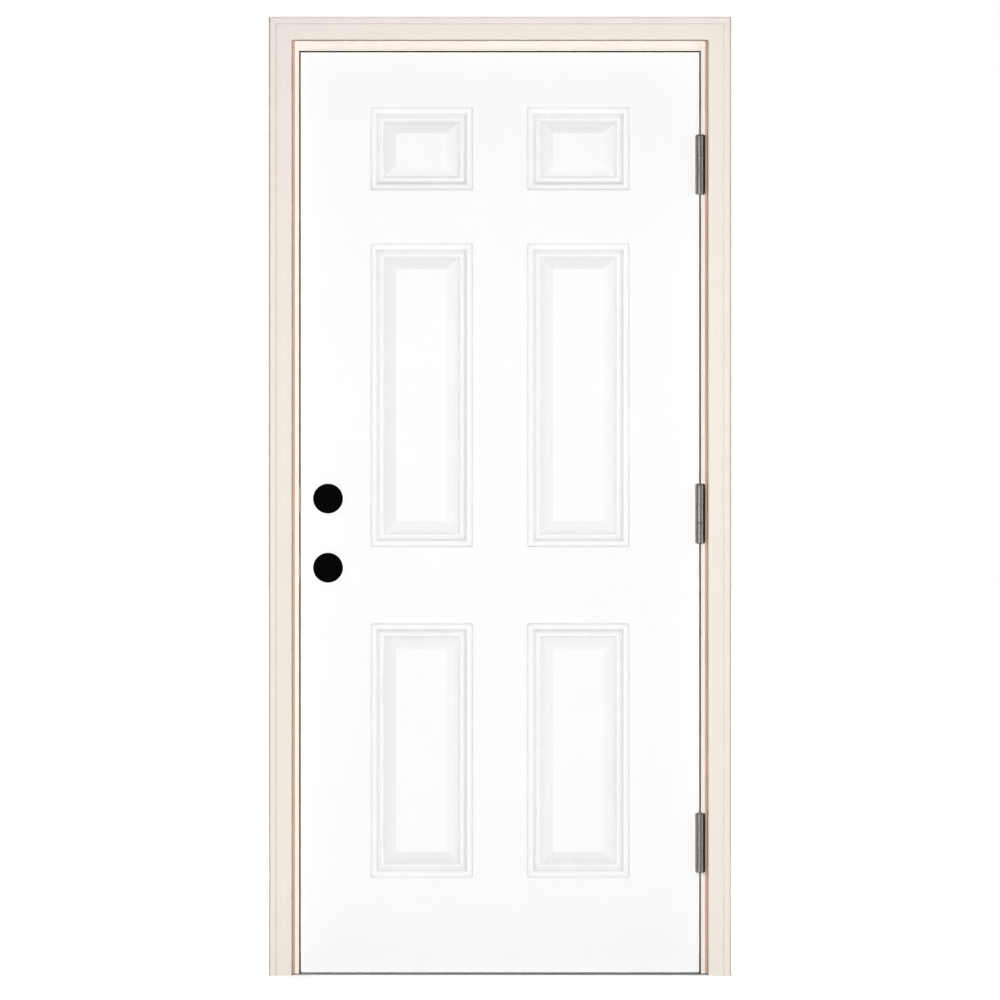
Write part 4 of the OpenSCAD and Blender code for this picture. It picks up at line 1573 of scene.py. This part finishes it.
@dataclass
class Brickmould:
    """Moulding round the outside of the frame, mitred at its two upper corners."""

    upright: Finish
    across: Finish
    thick: float = 32 * MM
    round_edge: float = 5 * MM
    round_steps: int = 14
    drop_steps: int = 10
    band: float = 13 * MM
    drop: float = 2 * MM
    hold: float = 0.4 * MM

    def __post_init__(self) -> None:
        """Takes the moulding's place from the frame."""
        low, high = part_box(SIDE_MOULDING)
        self.inner = low.x
        self.outer = high.x
        self.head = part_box("head_brickmould")[0].z

    def section(self) -> list[Point2]:
        """Gives the section: distance out from the inner edge, height off the jamb.

        Returns:
            The section's points.
        """
        width, r = self.outer - self.inner, self.round_edge
        high, low = self.thick, self.thick - self.drop
        band = width - self.band - r
        return [
            (0.0, 0.0),
            (0.0, high - r - self.hold),
            *arc_points((r, high - r), r, 180, 90, self.round_steps),
            (r + self.hold, high),
            (band - self.hold, high),
            *ogee((band, high), (band + r, low), self.drop_steps),
            (band + r + self.hold, low),
            (width - r - self.hold, low),
            *arc_points((width - r, low - r), r, 90, 0, self.round_steps),
            (width, low - r - self.hold),
            (width, 0.0),
        ]

    def stick(self, name: str, finish: Finish,
              ends: Callable[[float, float], tuple[Point3, Point3]]) -> None:
        """Builds one length.

        Args:
            name: The CAD node that it stands for.
            finish: Its finish.
            ends: Gives the two ends of the line along the stick at a point of the section.
        """
        draft = MeshDraft()
        starts, stops = zip(*(ends(out, -depth) for out, depth in self.section()))
        a, b = draft.add(starts), draft.add(stops)
        draft.bridge(a, b)
        draft.faces += [tuple(a), tuple(b)]
        mesh = draft.mesh(name, outward=True)
        stand_in(name, "moulding", mesh, FRAME_BODY, finish, SWEPT_CREASE)

    def build(self) -> None:
        """Builds the two sides and the head."""
        inner, head = self.inner, self.head
        for name, hand in ((SIDE_MOULDING, 1), ("strike_side_brickmould", -1)):
            self.stick(name, self.upright, lambda t, y, hand=hand: (
                (hand * (inner + t), y, 0.0), (hand * (inner + t), y, head + t)))
        self.stick("head_brickmould", self.across, lambda t, y: (
            (-inner - t, y, head + t), (inner + t, y, head + t)))


@dataclass
class Jambs:
    """The two side jambs and the head jamb, with their arrises eased."""

    upright: Finish
    across: Finish
    ease: float = 0.7 * MM

    def build(self) -> None:
        """Builds the three jambs."""
        for node, finish in (("hinge_jamb", self.upright), ("strike_jamb", self.upright),
                             ("head_jamb", self.across)):
            stand_in(node, "eased", eased_copy(node, self.ease), FRAME_BODY, finish)


# ---------------------------------------------------------------- hinges


@dataclass
class Hinges:
    """Three butt hinges: leaves with eased edges, turned pins and plugs, and screws."""

    metal: Finish
    washers: Finish
    ease: float = 0.6 * MM
    pin_radius: float = 4 * MM
    pin_point: tuple[float, float] = (0.5 * MM, 0.8 * MM)
    cap_height: float = 3.5 * MM
    cap_chamfer: tuple[float, float] = (0.8 * MM, 0.6 * MM)
    cap_rim: float = 1.2 * MM
    tip_height: float = 2.5 * MM
    tip_shank: float = 6 * MM
    tip_rim: float = 0.8 * MM
    rows: tuple[float, ...] = (0.4, 0.15, -0.15, -0.4)
    columns: tuple[float, float] = (0.35, 0.68)
    leaf_run: float = 31.5 * MM
    washer: float = 1.0 * MM
    washer_ease: float = 0.2 * MM
    washer_inset: float = 0.3 * MM
    washer_play: float = 0.05 * MM
    door_screw: float = 27 * MM
    jamb_screw: float = 19 * MM
    leaf_steps: int = 3
    dome_steps: int = 10
    steps: int = 56
    tip_dome_steps: int = 9
    tip_steps: int = 48

    def leaves(self) -> None:
        """Builds the six leaves."""
        for name in HINGE_NAMES:
            for kind, body in (("jamb", FRAME_BODY), ("door", DOOR_BODY)):
                node = f"{name}_hinge_{kind}_leaf"
                leaf = eased_copy(node, self.ease, self.leaf_steps)
                stand_in(node, "eased", leaf, body, self.metal)

    def pins(self) -> None:
        """Builds the pins with their domed caps."""
        point, rise = self.pin_point
        chamfer, lift = self.cap_chamfer
        for name in HINGE_NAMES:
            node = f"{name}_hinge_pin"
            low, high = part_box(node)
            cap, foot = (high.x - low.x) / 2, high.z - self.cap_height
            rim, dome_rise = foot + self.cap_rim, self.cap_height - self.cap_rim
            line = [
                (0.0, low.z), (self.pin_radius - point, low.z), (self.pin_radius, low.z + rise),
                (self.pin_radius, foot), (cap - chamfer, foot), (cap, foot + lift),
                (cap, rim), *dome(cap, rim, dome_rise, self.dome_steps),
            ]
            pin = MeshDraft()
            lathe(pin, line, middle(node)[:2], self.steps)
            mesh = pin.mesh(f"{name}_pin", outward=True)
            stand_in(node, "turned", mesh, FRAME_BODY, self.metal, TURNED_CREASE)

    def tips(self) -> None:
        """Builds the plugs below the three hinges."""
        plugs = MeshDraft()
        low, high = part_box("hinge_tips")
        radius = (high.x - low.x) / 2
        for name in HINGE_NAMES:
            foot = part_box(f"{name}_hinge_jamb_leaf")[0].z
            rim = foot - self.tip_rim
            line = [
                (0.0, foot + self.tip_shank), (self.pin_radius, foot + self.tip_shank),
                (self.pin_radius, foot), (radius, foot), (radius, rim),
                *dome(radius, rim, self.tip_rim - self.tip_height, self.tip_dome_steps),
            ]
            lathe(plugs, line, middle(f"{name}_hinge_pin")[:2], self.tip_steps)
        mesh = plugs.mesh("plugs", outward=True)
        stand_in("hinge_tips", "turned", mesh, FRAME_BODY, self.metal, TURNED_CREASE)

    def rings(self) -> None:
        """Builds the thrust washers, a little smaller than the knuckles between which they lie."""
        draft, ease = MeshDraft(), self.washer_ease
        inner = self.pin_radius + self.washer_play
        for name in HINGE_NAMES:
            pin_low, pin_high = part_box(f"{name}_hinge_pin")
            outer = (pin_high.x - pin_low.x) / 2 - self.washer_inset
            low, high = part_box(f"{name}_hinge_jamb_leaf")
            third = (high.z - low.z) / 3
            for foot in (low.z + third, high.z - third - self.washer):
                top = foot + self.washer
                line = [(inner, foot), (outer - ease, foot), (outer, foot + ease),
                        (outer, top - ease), (outer - ease, top), (inner, top), (inner, foot)]
                lathe(draft, line, middle(f"{name}_hinge_pin")[:2], self.steps)
        mesh = draft.mesh("washers", outward=True)
        stand_in("hinge_washers", "turned", mesh, FRAME_BODY, self.washers, TURNED_CREASE)

    def screw_points(self, face: float) -> list[Point3]:
        """Gives the middle of each screw's head.

        Args:
            face: Where the leaves' faces lie across.

        Returns:
            The points.
        """
        points = []
        for name in HINGE_NAMES:
            low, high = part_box(f"{name}_hinge_jamb_leaf")
            centre, height = (low.z + high.z) / 2, high.z - low.z
            points += [
                (face, self.leaf_run * self.columns[i % 2], centre + height * row)
                for i, row in enumerate(self.rows)
            ]
        return points

    def screws(self) -> None:
        """Builds the screws of both sides."""
        grower = ScrewGrower()
        for node, side, turn, length, body in (
            ("door_hinge_screws", 1, -QUARTER, self.door_screw, DOOR_BODY),
            ("jamb_hinge_screws", 0, QUARTER, self.jamb_screw, FRAME_BODY),
        ):
            start = point_mesh(self.screw_points(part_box(node)[side].x))
            mesh = grower.grow(start, self.metal, turn_y=turn, length=length)
            stand_in(node, "threaded", mesh, body, self.metal, SWEPT_CREASE)

    def build(self) -> None:
        """Builds all the hinges' pieces."""
        self.leaves()
        self.pins()
        self.tips()
        self.rings()
        self.screws()


# ---------------------------------------------------------------- seals, sill, covers


@dataclass
class Seals:
    """Weatherstrips in the three stops, the sill's bumper, the corner pads and the sweep."""

    upright: Finish
    across: Finish
    foam: Finish
    ease: float = 0.3 * MM
    bulb_width: float = 9 * MM
    bulb_depth: float = 7.2 * MM

    def strips(self) -> None:
        """Sweeps the three weatherstrips along their stops."""
        grower = SealGrower()
        for node, finish, turn in (("hinge_side_weatherstrip", self.upright, 0.0),
                                   ("strike_side_weatherstrip", self.upright, 0.0),
                                   ("head_weatherstrip", self.across, QUARTER)):
            low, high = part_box(node)
            x, _, z = middle(node)
            seat = low.y + self.bulb_depth
            if turn:
                line = [(low.x, seat, z), (high.x, seat, z)]
            else:
                line = [(x, seat, low.z), (x, seat, high.z)]
            mesh = grower.grow(point_mesh(line, [(0, 1)]), finish, bulb_width=self.bulb_width,
                               bulb_depth=self.bulb_depth, turn=turn)
            stand_in(node, "swept", mesh, FRAME_BODY, finish, SWEPT_CREASE)

    def build(self) -> None:
        """Builds the seals."""
        self.strips()
        for node, body, finish in (
            ("sill_bumper_seal", FRAME_BODY, self.across),
            ("door_sweep", DOOR_BODY, self.across),
            ("corner_seal_pads", FRAME_BODY, self.foam),
        ):
            stand_in(node, "eased", eased_copy(node, self.ease), body, finish)


@dataclass
class Sill:
    """Metal saddle with fine tread ribs, on its composite core."""

    metal: Finish
    core: Finish
    ease: float = 0.4 * MM
    rib_radius: float = 0.5 * MM
    rib_sink: float = 0.2 * MM
    rib_pitch: float = 4 * MM
    rib_inset: float = 2 * MM
    seal_room: float = 7 * MM
    crown: float = 9 * MM
    slope_end: float = 6 * MM
    slope_height: float = 22 * MM

    def build(self) -> None:
        """Builds the saddle, and the ribs down its slope."""
        saddle = eased_copy("sill_saddle", self.ease)
        stand_in("sill_saddle", "eased", saddle, FRAME_BODY, self.metal)
        low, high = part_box("sill_substrate")
        saddle_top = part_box("sill_saddle")[1]
        seal_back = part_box("sill_bumper_seal")[0].y
        start = Vector((seal_back + self.seal_room + self.crown, saddle_top.z))
        end = Vector((saddle_top.y - self.slope_end, self.slope_height))
        run = end - start
        count = int(run.length / self.rib_pitch) - 1
        across = Vector((run.y, -run.x)).normalized() * self.rib_sink
        places = [start + run * (k + 1) / (count + 1) + across for k in range(count)]
        points = point_mesh((0.0, p.x, p.y) for p in places)
        length = high.x - low.x - self.rib_inset
        ribs = RibGrower().grow(points, self.metal, length=length, radius=self.rib_radius)
        shade(ribs, RIB_CREASE)
        finished("sill_tread_ribs", ribs, FRAME_BODY, self.metal)
        dress("sill_substrate", self.core)


@dataclass
class BoreCovers:
    """Black caps over the two lock bores: a flat disc with a rounded rim, dished behind. Their
    colour, darker than any real plastic, is painted shade for the dark inside the bores.
    """

    plastic: Finish
    rim: float = 1.2 * MM
    dish: float = 28 * MM
    dish_depth: float = 0.8 * MM
    dish_slope: float = 0.4 * MM
    back_chamfer: float = 0.2 * MM
    hold: tuple[float, float] = (0.4 * MM, 0.1 * MM)
    rim_steps: int = 8
    steps: int = 96

    def build(self) -> None:
        """Turns the two caps."""
        ease, (face_hold, rim_hold) = self.back_chamfer, self.hold
        for node in BORE_COVERS:
            low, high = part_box(node)
            radius, thick = (high.x - low.x) / 2, high.y - low.y
            flat = radius - self.rim
            curve = arc_points((flat, thick - self.rim), self.rim, 0, 90, self.rim_steps)
            line = [
                (0.0, -self.dish_depth), (self.dish, -self.dish_depth),
                (self.dish + self.dish_slope, 0.0), (radius - ease, 0.0), (radius, -ease),
                (radius, -thick + self.rim + rim_hold), *((u, -v) for u, v in curve),
                (flat - face_hold, -thick), (0.0, -thick),
            ]
            draft = MeshDraft()
            lathe(draft, line, middle(node)[::2], self.steps, upright=False)
            mesh = draft.mesh(node, outward=True)
            stand_in(node, "turned", mesh, DOOR_BODY, self.plastic, CAP_CREASE)


@dataclass
class FrameFasteners:
    """Screws and nails that hold the frame together, mostly let into the timber."""

    zinc: Finish
    corner_screw: float = 55 * MM
    sill_screw: float = 70 * MM
    head_radius: float = 4 * MM
    head_height: float = 2 * MM
    shank: float = 1.6 * MM
    thread: float = 0.4 * MM
    drive: float = 4.4 * MM

    def build(self) -> None:
        """Builds the corner and sill screws, and dresses the nails."""
        grower = ScrewGrower()
        for node, length in (("head_corner_screws", self.corner_screw),
                             ("sill_screws", self.sill_screw)):
            low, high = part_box(node)
            z = middle(node)[2]
            depths = (low.y + self.head_radius, high.y - self.head_radius)
            pieces = [
                grower.grow(
                    point_mesh((hand * high.x, y, z) for y in depths), self.zinc,
                    turn_y=-hand * QUARTER, length=length, head_radius=self.head_radius,
                    head_height=self.head_height, shank_radius=self.shank,
                    thread_height=self.thread, drive_length=self.drive,
                )
                for hand in (1, -1)
            ]
            mesh = joined(node, pieces)
            stand_in(node, "threaded", mesh, FRAME_BODY, self.zinc, SWEPT_CREASE)
        dress("brickmould_nails", self.zinc)


def joined(name: str, meshes: Sequence[Mesh]) -> Mesh:
    """Joins meshes into one.

    Args:
        name: Name of the new mesh.
        meshes: The meshes.

    Returns:
        The new mesh.
    """
    made = bpy.data.meshes.new(name)
    with editing(made) as bm:
        for mesh in meshes:
            bm.from_mesh(mesh)
    return made


def dress(node: str, finish: Finish) -> None:
    """Gives a CAD node that stays in sight its finish.

    Args:
        node: Name of the node.
        finish: Its finish.
    """
    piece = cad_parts[node]
    if not piece.data.materials:
        piece.data.materials.append(None)
    for slot in piece.material_slots:
        slot.material = finish.material()
    LOG.info("%s keeps its CAD shape and is finished as %s", node, finish.name)


@dataclass
class DoorInside:
    """What the skins hide: stiles, rails, lock block and foam."""

    upright: Finish
    across: Finish
    foam: Finish

    def build(self) -> None:
        """Finishes the inner pieces, whose edges show at the door's edges."""
        for node in ("hinge_stile", "lock_stile", "lock_block"):
            dress(node, self.upright)
        for node in ("top_rail", "bottom_rail"):
            dress(node, self.across)
        dress("foam_core", self.foam)


# ---------------------------------------------------------------- studio


class Purpose(Enum):
    """What a soft light does: lights matt surfaces, is mirrored in bright ones, or both."""

    FILL = (True, False)
    GLINT = (False, True)
    BOTH = (True, True)


# Name, place, aim, width and height, power in watts, and purpose of each soft light
LIGHTS = (
    ("key", (0.0, -12.5, 1.08), (0.0, 0.0, 1.08), (0.4, 0.4), 1030.0, Purpose.FILL),
    ("near", (-0.2, -3.6, 1.6), (0.0, 0.0, 1.3), (0.8, 0.8), 38.0, Purpose.FILL),
    ("low", (0.1, -5.2, 0.35), (0.0, 0.0, 0.1), (1.6, 0.5), 25.0, Purpose.FILL),
    ("foot", (0.0, -0.7, 0.12), (0.0, 0.0, 0.05), (1.5, 0.2), 0.45, Purpose.FILL),
    ("side", (2.4, -2.2, 2.0), (0.4, 0.0, 1.0), (0.3, 0.3), 9.0, Purpose.FILL),
    ("strip", (-1.2, -3.2, 1.1), (0.3, 0.0, 1.1), (0.22, 2.6), 19.0, Purpose.GLINT),
    ("edge", (2.6, -1.8, 1.1), (0.4, 0.0, 1.1), (0.5, 2.6), 10.0, Purpose.GLINT),
    ("top", (0.0, 0.4, 4.9), (0.0, 0.03, 2.1), (2.0, 1.0), 42.0, Purpose.BOTH),
    ("rear_left", (-2.6, 4.6, 2.4), (0.0, 0.0, 1.0), (2.0, 2.0), 205.0, Purpose.FILL),
    ("rear_right", (3.2, 3.6, 1.6), (0.0, 0.0, 1.0), (1.6, 2.0), 120.0, Purpose.FILL),
    ("rear_glint", (-1.5, 5.0, 1.5), (0.0, 0.0, 1.0), (1.0, 2.0), 40.0, Purpose.GLINT),
)


@dataclass
class Studio:
    """Pale floor, soft lights and a level camera straight in front of the door."""

    distance: float = 14.0
    view_width: float = 2.2
    eye: float = 1.0468
    sensor: float = 36.0
    far: float = 200.0
    floor_radius: float = 60.0
    floor_sides: int = 96
    floor_seen: Colour = (0.82, 0.82, 0.81)
    floor_felt: Colour = (0.25, 0.25, 0.25)
    floor_mirrored: float = 0.4
    fade: tuple[float, float, float, float] = (0.6, 3.2, 0.5, 1.0)
    seen: float = 1.0
    mirrored: float = 0.43
    felt: float = 0.03
    contrast: float = 0.65

    def camera(self) -> None:
        """Puts a long lens straight in front, level with the middle of the door."""
        data = bpy.data.cameras.new("camera")
        data.sensor_width = self.sensor
        data.lens = self.sensor * self.distance / self.view_width
        data.clip_end = self.far
        camera = linked("camera", data)
        camera.location = (0.0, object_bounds()[0].y - self.distance, self.eye)
        camera.rotation_euler = (QUARTER, 0.0, 0.0)
        bpy.context.scene.camera = camera

    def floor(self) -> None:
        """Lays a round floor that glows to the camera, pale near the door and plain white away from
        it, glows faintly in reflections, and is darker to the light that it bounces.
        """
        draft = MeshDraft()
        rim = arc_points((0.0, 0.0), self.floor_radius, 0, 360, self.floor_sides)[:-1]
        draft.faces.append(tuple(draft.add((x, y, 0.0) for x, y in rim)))
        floor = linked("floor", draft.mesh("floor"))
        material = bpy.data.materials.new("pale_floor")
        material.use_nodes = True
        tree = Tree(material.node_tree)
        shader = material.node_tree.nodes["Principled BSDF"]
        where = tree.node("ShaderNodeTexCoord").outputs["Object"]
        glow = tree.remap(tree.vector("LENGTH", where, output="Value"), *self.fade)
        path = tree.node("ShaderNodeLightPath").outputs
        seen = path["Is Camera Ray"]
        mirrored = tree.math("MULTIPLY", path["Is Glossy Ray"], self.floor_mirrored)
        strength = tree.math("ADD", tree.math("MULTIPLY", glow, seen), mirrored)
        tree.feed(shader, base_color=tree.mix(seen, self.floor_felt, self.floor_seen),
                  roughness=0.75, specular_ior_level=0.2, emission_color=rgba(WHITE),
                  emission_strength=strength)
        floor.data.materials.append(material)
        floor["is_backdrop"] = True

    def softbox(self, name: str, place: Point3, aim: Point3, size: tuple[float, float],
                power: float, purpose: Purpose) -> None:
        """Adds a rectangular soft light.

        Args:
            name: Its name.
            place: Where it is.
            aim: What it points at.
            size: Its width and height.
            power: Its power in watts.
            purpose: Whether it lights matt surfaces, is mirrored in bright ones, or both.
        """
        data = bpy.data.lights.new(name, "AREA")
        data.shape = "RECTANGLE"
        data.size, data.size_y = size
        data.energy = power
        light = linked(name, data)
        light.location = place
        light.visible_camera = False
        light.visible_diffuse, light.visible_glossy = purpose.value
        light.rotation_euler = (Vector(aim) - Vector(place)).to_track_quat("-Z", "Y").to_euler()

    def world(self) -> None:
        """Makes the surroundings plain white to the eye and dimmer as light."""
        world = bpy.data.worlds.new("studio")
        world.use_nodes = True
        bpy.context.scene.world = world
        tree = Tree(world.node_tree)
        path = tree.node("ShaderNodeLightPath").outputs
        dim = tree.remap(path["Is Glossy Ray"], 0.0, 1.0, self.felt, self.mirrored)
        strength = tree.remap(path["Is Camera Ray"], 0.0, 1.0, dim, self.seen)
        tree.feed(world.node_tree.nodes["Background"], color=rgba(WHITE), strength=strength)

    def build(self) -> None:
        """Sets the whole studio."""
        self.camera()
        self.floor()
        self.world()
        for light in LIGHTS:
            self.softbox(*light)
        view = bpy.context.scene.view_settings
        view.view_transform = "Standard"
        view.look = "None"
        view.gamma = self.contrast


# ---------------------------------------------------------------- the whole door


def main() -> None:
    """Builds and dresses every sub-assembly in order."""
    logging.basicConfig(level=logging.INFO, format="%(message)s")
    enamel = Enamel("stoved_enamel", "white_enamel")
    moulding_up = PrimedTimber("primed_moulding_upright", "primed_wood")
    moulding_across = PrimedTimber("primed_moulding_across", "primed_wood", run=Run.ACROSS)
    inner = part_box(SIDE_MOULDING)[0].x
    groove = (inner - GROOVE_WIDTH, inner)
    jamb_up = PrimedTimber("primed_jamb_upright", "primed_wood", groove=groove)
    jamb_across = PrimedTimber("primed_jamb_across", "primed_wood", run=Run.ACROSS)
    stile = BareTimber("stile_timber", "stile_wood")
    rail = BareTimber("rail_timber", "stile_wood", run=Run.ACROSS)
    nickel = DrawnMetal("brushed_nickel", "satin_nickel")
    zinc = DrawnMetal("bright_zinc", "zinc_steel", run=Run.ACROSS, light=(0.7, 0.71, 0.73),
                      dark=(0.55, 0.56, 0.58))
    aluminium = DrawnMetal("extruded_aluminium", "mill_aluminium", run=Run.ACROSS,
                           light=(0.74, 0.745, 0.75), dark=(0.62, 0.625, 0.63), smooth=0.32,
                           coarse=0.5)
    vinyl_up = SoftVinyl("seal_vinyl_upright", "grey_seal")
    vinyl_across = SoftVinyl("seal_vinyl_across", "grey_seal", run=Run.ACROSS)
    foam = MouldedPlastic("rigid_foam", "core_foam", light=(0.8, 0.68, 0.36),
                          dark=(0.68, 0.55, 0.28), cells=900.0, depth=0.3 * MM, matt=0.85)
    pad = MouldedPlastic("pad_foam", "grey_seal", light=(0.36, 0.37, 0.38),
                         dark=(0.28, 0.29, 0.3), cells=1400.0, depth=0.2 * MM, matt=0.85)
    sill_core = MouldedPlastic("pressed_composite", "sill_composite", light=(0.5, 0.42, 0.31),
                               dark=(0.4, 0.33, 0.24), cells=1200.0, depth=0.1 * MM)
    # Painted shade: the bore caps take a colour darker than real plastic, for the dark inside the
    # bores
    black = MouldedPlastic("moulded_black", "black_plastic", matt=0.42, specular=0.08)

    Studio().build()
    for side in Side:
        PressedSkin(side, enamel).build()
    DoorInside(stile, rail, foam).build()
    BoreCovers(black).build()
    Brickmould(moulding_up, moulding_across).build()
    Jambs(jamb_up, jamb_across).build()
    Hinges(nickel, zinc).build()
    Seals(vinyl_up, vinyl_across, pad).build()
    Sill(aluminium, sill_core).build()
    FrameFasteners(zinc).build()


if __name__ == "__main__":
    main()
